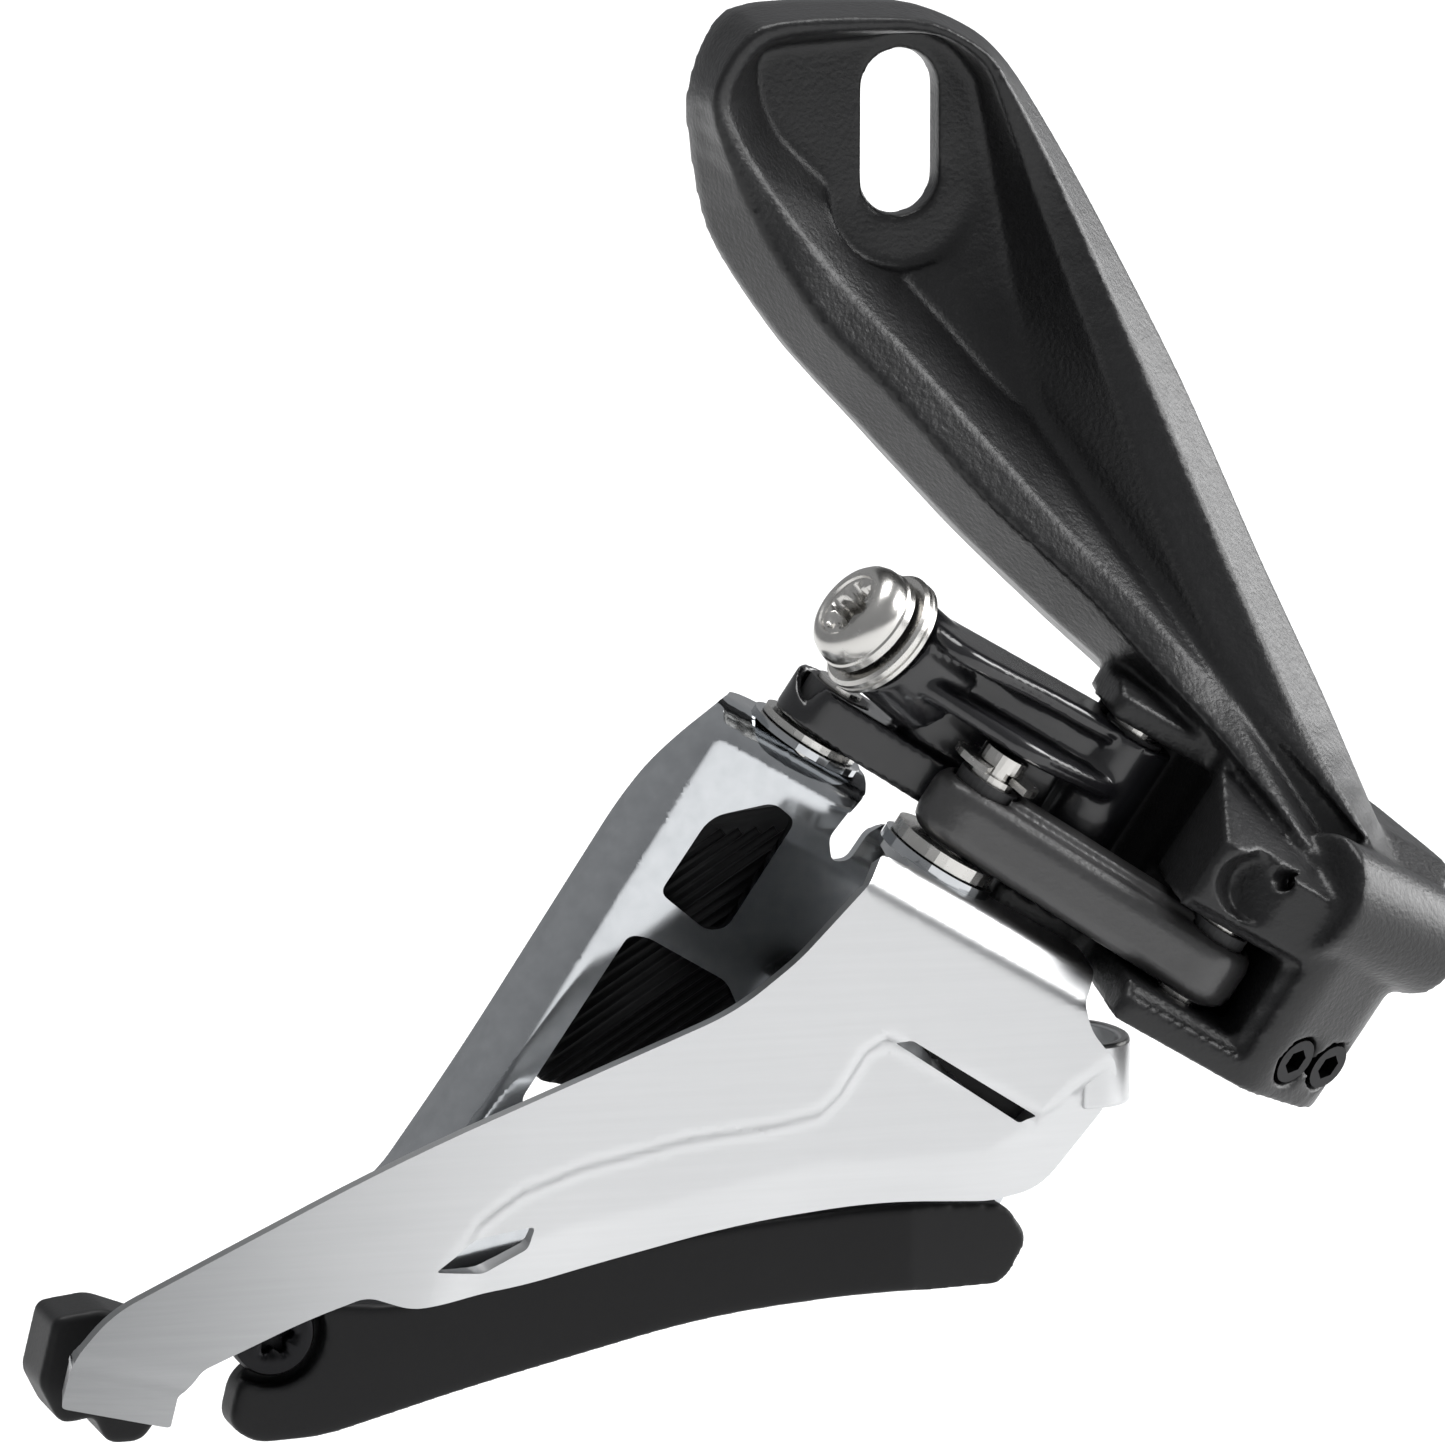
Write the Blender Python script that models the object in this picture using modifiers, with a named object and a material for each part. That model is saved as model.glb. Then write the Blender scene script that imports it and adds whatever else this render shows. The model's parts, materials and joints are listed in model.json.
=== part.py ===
"""Side-swing front derailleur with a direct-mount bracket.

World frame: +X forward, +Y towards the bicycle's left side, +Z up, metres. The origin is the centre
of the bracket's slot on its back face, which bolts to the frame. The linkage has a frame of its own,
u (forward and down), v (inboard) and w (along the hinge pins), whose origin is the outer base pin.
"""
import bpy
import bmesh
from math import atan2, cos, hypot, pi, radians, sin, tan
from mathutils import Matrix, Vector

MM = 0.001
GAP = 0.3                      # gap kept between touching pieces, mm

# Linkage frame
LINKAGE_AT = (18.5, -25.0, -65.0)
LEAN_FORWARD = radians(31)
TILT_OUTWARD = radians(10)

# Four-bar linkage, in (u, v)
LINK_LENGTH = 22.0
REST_ANGLE = radians(14)       # the links point this far inboard at rest
BASE_PITCH = (-11.5, 10.0)     # outer base pin to inner base pin
REACH = (-LINK_LENGTH * cos(REST_ANGLE), LINK_LENGTH * sin(REST_ANGLE))
OUTER_CAGE_PIVOT = REACH
INNER_CAGE_PIVOT = (BASE_PITCH[0] + REACH[0], BASE_PITCH[1] + REACH[1])
PIN_RADIUS = 2.0
BUSH_RADIUS = 2.6
LINK_END, BOSS_RADIUS = 3.9, 3.7   # round ends of the outer and the inner link

# Levels along the pins, w
LINK_LOW, LINK_HIGH = -2.8, 3.4
ARM_LOW, ARM_HIGH = 6.3, 12.0
INNER_LINK_LOW, INNER_LINK_HIGH = -1.9, 2.0
EAR_LOW, EAR_TOP = -6.4, -3.2
HOUSING_TOP, HOUSING_EAVE = 15.5, 10.6   # the roof slopes down to its front wall
OUTER_PIN_TOP = 11.0
OUTER_FLANGE_TOP, INNER_FLANGE_TOP = -5.1, -3.4
SHEET = 1.4                    # cage plate thickness

# Mounting plate
SLOT_WIDTH, SLOT_LENGTH = 6.6, 13.6
FLOOR_DEPTH = 3.0              # thickness of the dished floor, which the bolt clamps
RIM_STEP = 0.6                 # the rim's inner edge lies this far behind its front
TIP_DEPTH = 9.8                # depth of the rim's inner edge at the tip of the dish
LEAN_FROM, LEAN_RATE = -9.0, 0.30   # below this height the arm leans outboard, mm a mm
LEAN_BACK, LEAN_UP = 0.287, 0.184   # and its outline moves back and up as it does
DEEPEST = 30.0                 # where the lean ends

# Cage
OUTER_PLATE_Y = -27.0          # outboard faces of the two plates
INNER_PLATE_Y = -12.0

# Cable-housing stop, along the linkage's u at the housing's front wall
STOP_AT, STOP_AXIS = (0.0, -5.6, 10.0), (0.9, 0.44, 0.0)
STOP_MOUTH = 18.5
HOUSING_SOCKET = 2.6

# Return spring
SPRING_RADIUS, SPRING_WIRE = 3.1, 0.5

# Limit screws and clamp bolt
SCREW_RADIUS = 2.0
BOLT_UP, BOLT_OUT = radians(12), radians(10)
BOLT_AT = (-33.0, 10.6, 8.2)   # where the bolt's washer meets the arm
BOLT_AXIS = (-cos(BOLT_UP) * cos(BOLT_OUT), -sin(BOLT_OUT), sin(BOLT_UP))
SCREW_AXIS = (0.6, -0.8, 0.0)
SCREW_PLACES = {"low_limit_screw": (10.2, -4.0, -2.6), "high_limit_screw": (14.0, -1.2, -2.2)}

# Fasteners of the cage, in (x, z)
FRONT_RIVET_AT, TAIL_RIVET_AT = (9.0, -74.0), (-68.4, -94.6)
RIVET_RADIUS, RIVET_HEAD = 1.3, 2.2
TAIL_SCREW_AT, SCREW_SHANK = (-56.2, -93.0), 2.2
SKID_DEPTH = 4.6               # how far the skid stands out from the inner plate's face

# Clearances of bores and pockets round what turns in them
PIN_BORE = PIN_RADIUS + GAP
BUSH_BORE = BUSH_RADIUS + GAP
BUSH_PLAY = 0.08               # between a pin and its bush
BOLT_SHANK = 2.5

for old in list(bpy.data.objects):
    bpy.data.objects.remove(old)
model = bpy.data.collections.new("front_derailleur")
tools = bpy.data.collections.new("cutters")
for group in (model, tools):
    bpy.context.scene.collection.children.link(group)


def finish(name, colour, roughness, metallic):
    mat = bpy.data.materials.new(name)
    mat.use_nodes = True
    shader = mat.node_tree.nodes["Principled BSDF"]
    shader.inputs["Base Color"].default_value = (*colour, 1.0)
    shader.inputs["Roughness"].default_value = roughness
    shader.inputs["Metallic"].default_value = metallic
    mat.diffuse_color = (*colour, 1.0)
    return mat


BLACK_PAINT = finish("black_paint", (0.03, 0.03, 0.033), 0.45, 0.3)
GLOSS_BLACK = finish("gloss_black", (0.012, 0.012, 0.013), 0.22, 0.2)
SILVER = finish("silver_plate", (0.82, 0.83, 0.84), 0.3, 0.9)
CHROME = finish("chrome", (0.62, 0.64, 0.66), 0.08, 1.0)
STEEL = finish("steel", (0.55, 0.54, 0.52), 0.3, 1.0)
RESIN = finish("black_resin", (0.02, 0.02, 0.021), 0.55, 0.0)


# ---------- placing ----------

def empty(name, location, rotation=(0, 0, 0), parent=None):
    axis = bpy.data.objects.new(name, None)
    axis.empty_display_size = 5 * MM
    axis.location = Vector(location) * MM
    axis.rotation_euler = rotation
    axis.parent = parent
    model.objects.link(axis)
    bpy.context.view_layer.update()
    return axis


linkage = empty("linkage", LINKAGE_AT, (TILT_OUTWARD, LEAN_FORWARD, 0))
outer_axis = empty("outer_link_axis", (0, 0, 0), parent=linkage)
inner_axis = empty("inner_link_axis", (*BASE_PITCH, 0), parent=linkage)
cage_axis = empty("cage_axis", (*OUTER_CAGE_PIVOT, 0), parent=outer_axis)


def hold(piece, parent, frame):
    """Give a piece its parent empty, keeping it where its frame put it."""
    bpy.context.view_layer.update()
    piece.parent = parent
    if parent is not None:
        piece.matrix_parent_inverse = parent.matrix_world.inverted()
    piece.matrix_basis = frame
    return piece


WORLD = Matrix.Identity(4)
LOCAL = linkage.matrix_world.copy()


def along(start, direction):
    """A linkage-frame matrix whose local Z runs along a direction from a start point."""
    turn = Vector(direction).to_track_quat("Z", "Y").to_matrix().to_4x4()
    return LOCAL @ Matrix.Translation(Vector(start) * MM) @ turn


# ---------- shapes ----------

LONGEST_TRIM = 0.45            # the share of a side that a rounded corner may take


def rounded(corners, steps=5):
    """Points of a polygon of (x, y, radius) corners with its corners rounded by arcs."""
    points = []
    count = len(corners)
    for index, (x, y, radius) in enumerate(corners):
        here = Vector((x, y))
        before = Vector(corners[index - 1][:2]) - here
        after = Vector(corners[(index + 1) % count][:2]) - here
        if radius == 0:
            points.append(here)
            continue
        trim = radius / tan(before.angle(after) / 2)
        length = min(trim, before.length * LONGEST_TRIM, after.length * LONGEST_TRIM)
        first, last = here + before.normalized() * length, here + after.normalized() * length
        for step in range(steps + 1):
            t = step / steps
            points.append(first * (1 - t) ** 2 + here * 2 * t * (1 - t) + last * t ** 2)
    return points


def smooth_loop(points, per=3):
    """A closed Catmull-Rom curve through points of any dimension."""
    count = len(points)
    found = []
    for index in range(count):
        a, b, c, d = (Vector(points[(index + k - 1) % count]) for k in range(4))
        for step in range(per):
            t = step / per
            found.append(0.5 * (2 * b + (c - a) * t + (2 * a - 5 * b + 4 * c - d) * t * t
                                + (3 * b - a - 3 * c + d) * t ** 3))
    return found


def as_object(name, bm, mat=None):
    bmesh.ops.remove_doubles(bm, verts=bm.verts, dist=0.00001)
    bmesh.ops.recalc_face_normals(bm, faces=bm.faces)
    mesh = bpy.data.meshes.new(name)
    bm.to_mesh(mesh)
    bm.free()
    mesh.shade_smooth()
    mesh.set_sharp_from_angle(angle=radians(35))
    piece = bpy.data.objects.new(name, mesh)
    if mat is None:
        piece.hide_render = True
        piece.display_type = "WIRE"
        tools.objects.link(piece)
    else:
        mesh.materials.append(mat)
        model.objects.link(piece)
    return piece


def plate(name, outline, low, high, frame=LOCAL, parent=None, mat=None, bevel=0.0):
    """A flat outline, extruded between two levels of its frame's Z, as a closed mesh."""
    curve = bpy.data.curves.new(name, "CURVE")
    curve.dimensions = "2D"
    curve.fill_mode = "BOTH"
    curve.extrude = (high - low) / 2 * MM
    line = curve.splines.new("POLY")
    line.points.add(len(outline) - 1)
    for point, place in zip(line.points, outline):
        point.co = (place[0] * MM, place[1] * MM, 0, 1)
    line.use_cyclic_u = True
    guide = bpy.data.objects.new(name + "_outline", curve)
    tools.objects.link(guide)
    bpy.context.view_layer.update()
    depsgraph = bpy.context.evaluated_depsgraph_get()
    mesh = bpy.data.meshes.new_from_object(guide.evaluated_get(depsgraph))
    bpy.data.objects.remove(guide)
    bm = bmesh.new()
    bm.from_mesh(mesh)
    bmesh.ops.translate(bm, verts=bm.verts, vec=(0, 0, (high + low) / 2 * MM))
    piece = as_object(name, bm, mat)
    if bevel:
        edge = piece.modifiers.new("edges", "BEVEL")
        edge.width = bevel * MM
        edge.segments = 2
        edge.limit_method = "ANGLE"
        edge.angle_limit = radians(50)
    return hold(piece, parent, frame)


def rod(name, radius, low, high, at=(0, 0), frame=LOCAL, parent=None, mat=None, sides=28, tip=None):
    """A cylinder or cone between two levels of its frame's Z."""
    bm = bmesh.new()
    bmesh.ops.create_cone(bm, cap_ends=True, segments=sides, radius1=radius * MM,
                          radius2=(radius if tip is None else tip) * MM, depth=(high - low) * MM)
    bmesh.ops.translate(bm, verts=bm.verts, vec=(at[0] * MM, at[1] * MM, (high + low) / 2 * MM))
    return hold(as_object(name, bm, mat), parent, frame)


def block(name, low, high, frame=LOCAL, parent=None, mat=None):
    bm = bmesh.new()
    bmesh.ops.create_cube(bm, size=MM)
    bmesh.ops.scale(bm, verts=bm.verts, vec=[h - l for l, h in zip(low, high)])
    bmesh.ops.translate(bm, verts=bm.verts, vec=[(l + h) / 2 * MM for l, h in zip(low, high)])
    return hold(as_object(name, bm, mat), parent, frame)


def ring(name, inner, outer, low, high, at=(0, 0), frame=LOCAL, parent=None, mat=None, sides=32):
    """A bush or washer: a rectangle turned about its frame's Z with a Screw modifier."""
    bm = bmesh.new()
    corners = [(outer, high), (outer, low), (inner, low), (inner, high)]
    verts = [bm.verts.new((r * MM, 0, z * MM)) for r, z in corners]
    for index in range(4):
        bm.edges.new((verts[index], verts[(index + 1) % 4]))
    mesh = bpy.data.meshes.new(name)
    bm.to_mesh(mesh)
    bm.free()
    mesh.materials.append(mat)
    piece = bpy.data.objects.new(name, mesh)
    model.objects.link(piece)
    turn = piece.modifiers.new("turn", "SCREW")
    turn.steps = turn.render_steps = sides
    turn.use_merge_vertices = True
    turn.merge_threshold = 0.00001
    return hold(piece, parent, frame @ Matrix.Translation((at[0] * MM, at[1] * MM, 0)))


def boolean(piece, other, operation):
    change = piece.modifiers.new(operation.lower(), "BOOLEAN")
    change.operation = operation
    change.object = other
    return piece


def cut(piece, *others):
    for other in others:
        boolean(piece, other, "DIFFERENCE")


def join(piece, *others):
    for other in others:
        boolean(piece, other, "UNION")


def loft(name, rings, mat=None):
    """A closed mesh through rings of equal point counts, capped at its first and last ring."""
    bm = bmesh.new()
    rows = [[bm.verts.new(Vector(point) * MM) for point in row] for row in rings]
    count = len(rows[0])
    for low, high in zip(rows, rows[1:]):
        for index in range(count):
            after = (index + 1) % count
            bm.faces.new((low[index], low[after], high[after], high[index]))
    bm.faces.new(rows[0])
    bm.faces.new(rows[-1])
    bmesh.ops.triangulate(bm, faces=bm.faces)
    return as_object(name, bm, mat)


# World-frame plates are drawn in (x, z) and pushed towards -Y: local Z is world -Y.
OUTWARD = Matrix.Rotation(radians(90), 4, "X")
# Bent strips are drawn in their frame's (Y, Z) and pushed along its X.
SIDEWAYS = Matrix(((0, 0, 1, 0), (1, 0, 0, 0), (0, 1, 0, 0), (0, 0, 0, 1)))


# ---------- mount bracket ----------

# One row for each station round the bracket: outer edge (x, z), shoulder depth, front edge (x, z),
# front depth, inner edge of the rim (x, z), and dished floor (x, z).
STATIONS = [
    (-13.6, 10.3, 2.5, -13.0, 9.4, 8.4, -12.2, 8.2, -11.2, 7.2),
    (-17.3, 3.2, 2.5, -17.2, 3.2, 8.2, -15.8, 3.0, -11.9, 4.2),
    (-15.6, -7.6, 1.5, -13.2, -7.0, 8.6, -12.0, -4.4, -10.4, 0.2),
    (-9.8, -16.6, 1.5, -8.2, -14.8, 9.0, -6.6, -11.4, -6.6, -3.6),
    (-3.5, -23.6, 1.5, -2.6, -20.6, 9.0, -0.8, -17.6, -3.0, -8.2),
    (5.2, -33.0, 1.5, 5.4, -29.6, 9.0, 6.4, -25.8, 2.0, -14.0),
    (13.0, -40.6, 2.0, 13.6, -37.4, 9.4, 14.0, -34.4, 6.4, -19.2),
    (18.4, -45.6, 3.0, 19.0, -43.6, 10.4, 20.6, -41.4, 9.2, -22.0),
    (24.0, -51.6, 4.0, 24.4, -49.8, 12.0, 24.6, -45.6, 10.4, -23.2),
    (30.4, -60.0, 6.0, 30.6, -58.6, 16.0, 25.3, -46.3, 11.0, -23.4),
    (37.0, -67.4, 8.0, 36.4, -66.2, 20.0, 25.8, -46.5, 11.4, -23.2),
    (43.4, -67.2, 8.0, 41.4, -65.6, 18.0, 26.0, -46.0, 11.6, -22.6),
    (40.2, -59.6, 6.0, 37.2, -60.0, 14.0, 25.9, -45.4, 11.5, -22.0),
    (35.4, -47.8, 5.0, 31.4, -49.0, 11.0, 25.2, -43.6, 11.0, -21.0),
    (30.2, -36.0, 4.0, 26.0, -36.4, 9.6, 21.4, -35.4, 10.4, -18.6),
    (23.4, -20.6, 4.0, 18.8, -19.6, 9.2, 16.2, -20.8, 9.2, -13.0),
    (15.2, -4.8, 4.0, 11.6, -3.8, 9.0, 10.4, -6.6, 7.6, -3.6),
    (9.6, 4.4, 4.0, 7.4, 4.2, 8.6, 7.0, 2.6, 6.8, 1.8),
    (6.4, 8.0, 3.0, 5.4, 7.0, 8.4, 5.2, 6.2, 5.6, 5.2),
    (0.2, 10.5, 3.0, 0.0, 9.6, 8.4, -0.2, 8.6, -0.4, 7.8),
]

HOUSING = [(-6, -6.5, 1), (7.5, -6.5, 1), (15.5, -0.5, 2), (18, 9, 3), (12, 18, 2), (-13, 18, 2),
           (-15.7, 14, 2), (-15.7, 5.6, 1), (-6, 5.6, 0.6)]


def leaned(x, z, depth):
    """A point of the arm's section, in (x, z) and depth, moved outboard by the arm's lean."""
    lean = min(LEAN_RATE * max(LEAN_FROM - z, 0), DEEPEST - depth) if depth else 0
    return (x - LEAN_BACK * lean, -depth - lean, z + LEAN_UP * lean)


def mount_bracket():
    """The slotted plate, dished arm and linkage housing, one painted casting."""
    rows = []
    for pick, depth in ((0, lambda s: 0.0), (0, lambda s: s[2]), (3, lambda s: s[5]),
                        (6, lambda s: min(s[5] - RIM_STEP, TIP_DEPTH)), (8, lambda s: FLOOR_DEPTH)):
        rows.append(smooth_loop([leaned(s[pick], s[pick + 1], depth(s)) for s in STATIONS]))
    body = hold(loft("mount_bracket", rows, BLACK_PAINT), None, WORLD)
    housing = plate("housing", rounded(HOUSING), EAR_LOW, HOUSING_TOP)
    slope = [(-10.0, 9.4), (-6.5, HOUSING_EAVE), (8.0, HOUSING_TOP), (8.0, 20.0), (-10.0, 20.0)]
    cut(housing, plate("roof_slope", slope, -30.0, 30.0, LOCAL @ SIDEWAYS))
    stop = along(STOP_AT, STOP_AXIS)
    barrel = rod("barrel", 5.2, 4, STOP_MOUTH, frame=stop, tip=4.6)
    join(body, housing, barrel)

    half = SLOT_LENGTH / 2 - SLOT_WIDTH / 2
    turns = [pi * k / 10 for k in range(11)]
    slot = [(SLOT_WIDTH / 2 * cos(a), half + SLOT_WIDTH / 2 * sin(a)) for a in turns]
    slot += [(-x, -z) for x, z in slot]
    cut(body, plate("slot", slot, -5, 15, OUTWARD))

    # The window that the outer link swings in, and the space of the inner link and cable arm.
    sweep = [(4.4, -8), (4.4, 4.6), (-2, 5.4), (-9, 9), (-9, -8)]
    cut(body, plate("link_window", sweep, EAR_TOP, LINK_HIGH + 0.7))
    arm_room = rounded([(-5.2, 4.8, 0), (-5.2, 16, 2), (-30, 20, 0),
                        (-30, -12, 0), (-7, -12, 0), (-7, 2, 0)])
    cut(body, plate("arm_room", arm_room, EAR_TOP - 0.15, ARM_HIGH + 0.7))
    cut(body, rod("spring_room", SPRING_RADIUS + SPRING_WIRE + GAP, LINK_HIGH - 0.5, 10.6))
    cut(body, block("spring_mouth", (-9, 0.5, LINK_HIGH - 0.4), (-1, 4.0, 10.4)))
    cut(body, rod("outer_bore", PIN_BORE, EAR_LOW - 5, OUTER_PIN_TOP + 0.4))
    cut(body, rod("inner_bore", PIN_BORE, EAR_LOW - 5, HOUSING_TOP - 1.2, BASE_PITCH))
    cut(body, rod("stop_socket", HOUSING_SOCKET, 8.0, 30.0, frame=stop))
    cut(body, rod("stop_exit", 0.9, -20.0, 9.0, frame=stop, sides=16))
    cut(body, rod("stop_recess", 3.6, -14.0, 1.2, frame=along((-0.6, -8.0, 9.6), STOP_AXIS)))
    for name, place in SCREW_PLACES.items():
        cut(body, rod(name + "_hole", SCREW_RADIUS + GAP, -8.2, 5.0, frame=along(place, SCREW_AXIS)))
    return body


# ---------- limit screws ----------

def limit_screw(name, place):
    """A set screw with a hexagon socket, flush with the housing's chamfer."""
    axis = empty(name + "_axis", place, parent=linkage)
    frame = along(place, SCREW_AXIS)
    screw = rod(name, SCREW_RADIUS, -7.6, 0.2, frame=frame, parent=axis, mat=STEEL, sides=24)
    cut(screw, rod(name + "_socket", 1.15, -1.8, 2.0, frame=frame, sides=6))
    return screw


# ---------- pins, bushes and spring ----------

def pins_and_bushes():
    rod("outer_base_pin", PIN_RADIUS, EAR_LOW + 0.4, OUTER_PIN_TOP, mat=STEEL)
    rod("inner_base_pin", PIN_RADIUS, EAR_LOW + 0.4, HOUSING_TOP - 1.6, BASE_PITCH, mat=STEEL)
    ring("outer_link_base_bush", PIN_RADIUS + BUSH_PLAY, BUSH_RADIUS, LINK_LOW, LINK_HIGH,
         parent=outer_axis, mat=RESIN)
    ring("outer_link_cage_bush", PIN_RADIUS + BUSH_PLAY, BUSH_RADIUS, LINK_LOW, LINK_HIGH,
         OUTER_CAGE_PIVOT, parent=outer_axis, mat=RESIN)
    ring("inner_link_base_bush", PIN_RADIUS + BUSH_PLAY, BUSH_RADIUS, LINK_LOW, ARM_HIGH,
         BASE_PITCH, parent=inner_axis, mat=RESIN)
    ring("inner_link_cage_bush", PIN_RADIUS + BUSH_PLAY, BUSH_RADIUS, INNER_LINK_LOW, INNER_LINK_HIGH,
         INNER_CAGE_PIVOT, parent=inner_axis, mat=RESIN)

    clip_groove = LINK_HIGH + 1.0
    pin = rod("outer_cage_pin", PIN_RADIUS, OUTER_FLANGE_TOP - SHEET - 1.2, LINK_HIGH + 2.6,
              OUTER_CAGE_PIVOT, parent=cage_axis, mat=STEEL)
    cut(pin, ring_cutter("clip_groove_cut", 1.5, 3.0, clip_groove - 0.4, clip_groove + 0.4,
                         OUTER_CAGE_PIVOT))
    rod("inner_cage_pin", PIN_RADIUS, INNER_FLANGE_TOP - SHEET - 1.2, INNER_LINK_HIGH + 0.4,
        INNER_CAGE_PIVOT, parent=cage_axis, mat=STEEL)
    clip = [(3.8 * cos(radians(a)), 3.8 * sin(radians(a))) for a in range(-60, 241, 15)]
    clip += [(1.8 * cos(radians(a)), 1.8 * sin(radians(a))) for a in range(240, -61, -15)]
    clip = [(x + OUTER_CAGE_PIVOT[0], y + OUTER_CAGE_PIVOT[1]) for x, y in clip]
    plate("outer_pin_clip", clip, clip_groove - 0.3, clip_groove + 0.3, parent=cage_axis, mat=STEEL)
    ring("outer_pin_washer", PIN_RADIUS + 0.1, 5.1, OUTER_FLANGE_TOP + 0.1, OUTER_FLANGE_TOP + 1.0,
         OUTER_CAGE_PIVOT, parent=cage_axis, mat=CHROME)
    ring("outer_pin_seal", PIN_RADIUS + 0.1, 4.6, OUTER_FLANGE_TOP + 1.1, LINK_LOW - 0.1,
         OUTER_CAGE_PIVOT, parent=cage_axis, mat=STEEL)
    ring("inner_pin_washer", PIN_RADIUS + 0.1, 5.0, INNER_FLANGE_TOP + 0.1, INNER_FLANGE_TOP + 0.7,
         INNER_CAGE_PIVOT, parent=cage_axis, mat=CHROME)
    ring("inner_pin_seal", PIN_RADIUS + 0.1, 4.3, INNER_FLANGE_TOP + 0.8, INNER_LINK_LOW - 0.1,
         INNER_CAGE_PIVOT, parent=cage_axis, mat=STEEL)


def ring_cutter(name, inner, outer, low, high, at):
    """A closed ring that only cuts."""
    cutter = ring(name, inner, outer, low, high, at, mat=STEEL, sides=28)
    model.objects.unlink(cutter)
    tools.objects.link(cutter)
    cutter.hide_render = True
    cutter.display_type = "WIRE"
    return cutter


def return_spring():
    """The torsion spring coiled round the outer base pin, with one leg on the housing."""
    wire, radius, turns, low = SPRING_WIRE, SPRING_RADIUS, 4, 4.6
    points = []
    for step in range(turns * 14 + 1):
        turn = 2 * pi * step / 14
        points.append((radius * cos(turn), radius * sin(turn), low + step / 14 * (2 * wire + 0.1)))
    curve = bpy.data.curves.new("return_spring", "CURVE")
    curve.dimensions = "3D"
    curve.bevel_depth = wire * MM
    curve.bevel_resolution = 2
    curve.use_fill_caps = True
    line = curve.splines.new("POLY")
    line.points.add(len(points) - 1)
    for point, place in zip(line.points, points):
        point.co = (*(Vector(place) * MM), 1)
    curve.materials.append(STEEL)
    spring = bpy.data.objects.new("return_spring", curve)
    model.objects.link(spring)
    return hold(spring, linkage, LOCAL)


# ---------- links ----------

def bar_outline(start, end, start_radius, end_radius, steps=10):
    """A link's outline: two round ends joined by straight sides."""
    direction = atan2(end[1] - start[1], end[0] - start[0])
    spread = atan2(start_radius - end_radius, hypot(end[0] - start[0], end[1] - start[1]))
    points = []
    far = (end, end_radius, direction - pi / 2 + spread, direction + pi / 2 - spread)
    near = (start, start_radius, direction + pi / 2 - spread, direction + 3 * pi / 2 + spread)
    for centre, radius, first, last in (far, near):
        for step in range(steps + 1):
            turn = first + (last - first) * step / steps
            points.append((centre[0] + radius * cos(turn), centre[1] + radius * sin(turn)))
    return points


def outer_link():
    """The satin outer link, bored for its two bushes."""
    outline = bar_outline((0, 0), OUTER_CAGE_PIVOT, LINK_END, LINK_END)
    link = plate("outer_link", outline, LINK_LOW, LINK_HIGH, parent=outer_axis, mat=BLACK_PAINT, bevel=0.9)
    for name, at in (("outer_link_bore_a", (0, 0)), ("outer_link_bore_b", OUTER_CAGE_PIVOT)):
        cut(link, rod(name, BUSH_BORE, LINK_LOW - 2, LINK_HIGH + 2, at))
    clearance = BOSS_RADIUS + 0.4
    cut(link, plate("outer_link_scoop", bar_outline(BASE_PITCH, (-15.4, 11.0), clearance, clearance),
                    LINK_LOW - 2, LINK_HIGH + 2))
    return link


def inner_link():
    """The inner link and its cable arm, one glossy piece."""
    outline = bar_outline(BASE_PITCH, INNER_CAGE_PIVOT, BOSS_RADIUS, BOSS_RADIUS)
    link = plate("inner_link", outline, INNER_LINK_LOW, INNER_LINK_HIGH, parent=inner_axis, mat=GLOSS_BLACK)
    boss = rod("inner_boss", BOSS_RADIUS, LINK_LOW, ARM_HIGH - 0.2, BASE_PITCH)
    arm = plate("arm", bar_outline(BASE_PITCH, (-30.0, 10.6), 4.4, 2.7), ARM_LOW, ARM_HIGH)
    web = plate("arm_web", bar_outline((-14, 11.6), (-26.0, 13.2), 2.6, 2.0),
                INNER_LINK_HIGH - 1, ARM_LOW + 1.5)
    into_arm = along(BOLT_AT, (cos(BOLT_UP), sin(BOLT_OUT), -sin(BOLT_UP)))
    head = rod("arm_head", 4.4, -3.0, 5.2, frame=into_arm, tip=3.0)
    join(link, boss, arm, web, head)
    cut(link, rod("inner_link_scoop", LINK_END + 0.7, LINK_LOW - 2, ARM_LOW - 0.1, OUTER_CAGE_PIVOT))
    cut(link, rod("inner_link_bore_a", BUSH_BORE, LINK_LOW - 2, ARM_HIGH + 2, BASE_PITCH))
    cut(link, rod("inner_link_bore_b", BUSH_BORE, LINK_LOW - 2, INNER_LINK_HIGH + 1, INNER_CAGE_PIVOT))
    frame = along(BOLT_AT, BOLT_AXIS)
    cut(link, rod("bolt_hole", BOLT_SHANK + GAP, -7.0, 10.0, frame=frame))
    cut(link, rod("bolt_face", 8.0, 0.0, 6.0, frame=frame))
    groove = along((-22.0, 6.4, 10.2), (1, -0.05, 0.05))
    cut(link, rod("cable_groove", 1.3, -14.0, 14.0, frame=groove, sides=16))
    return link


def clamp_bolt():
    """The cable anchor bolt and the grooved washer that presses on the cable."""
    frame = along(BOLT_AT, BOLT_AXIS)
    ring("clamp_washer", BOLT_SHANK + GAP, 5.4, GAP, 1.8, frame=frame, parent=inner_axis, mat=STEEL)
    axis = empty("clamp_bolt_axis", BOLT_AT, parent=linkage)
    axis.parent = inner_axis
    bolt = rod("clamp_bolt", 4.6, 2.1, 4.4, frame=frame, parent=axis, mat=STEEL, tip=4.3)
    dome = rod("bolt_dome", 4.3, 4.3, 5.4, frame=frame, tip=3.3)
    shank = rod("bolt_shank", BOLT_SHANK, -6.0, 3.0, frame=frame)
    join(bolt, dome, shank)
    cut(bolt, rod("bolt_socket", 2.4, 2.6, 7.0, frame=frame, sides=6))
    return bolt


# ---------- cage ----------

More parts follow.
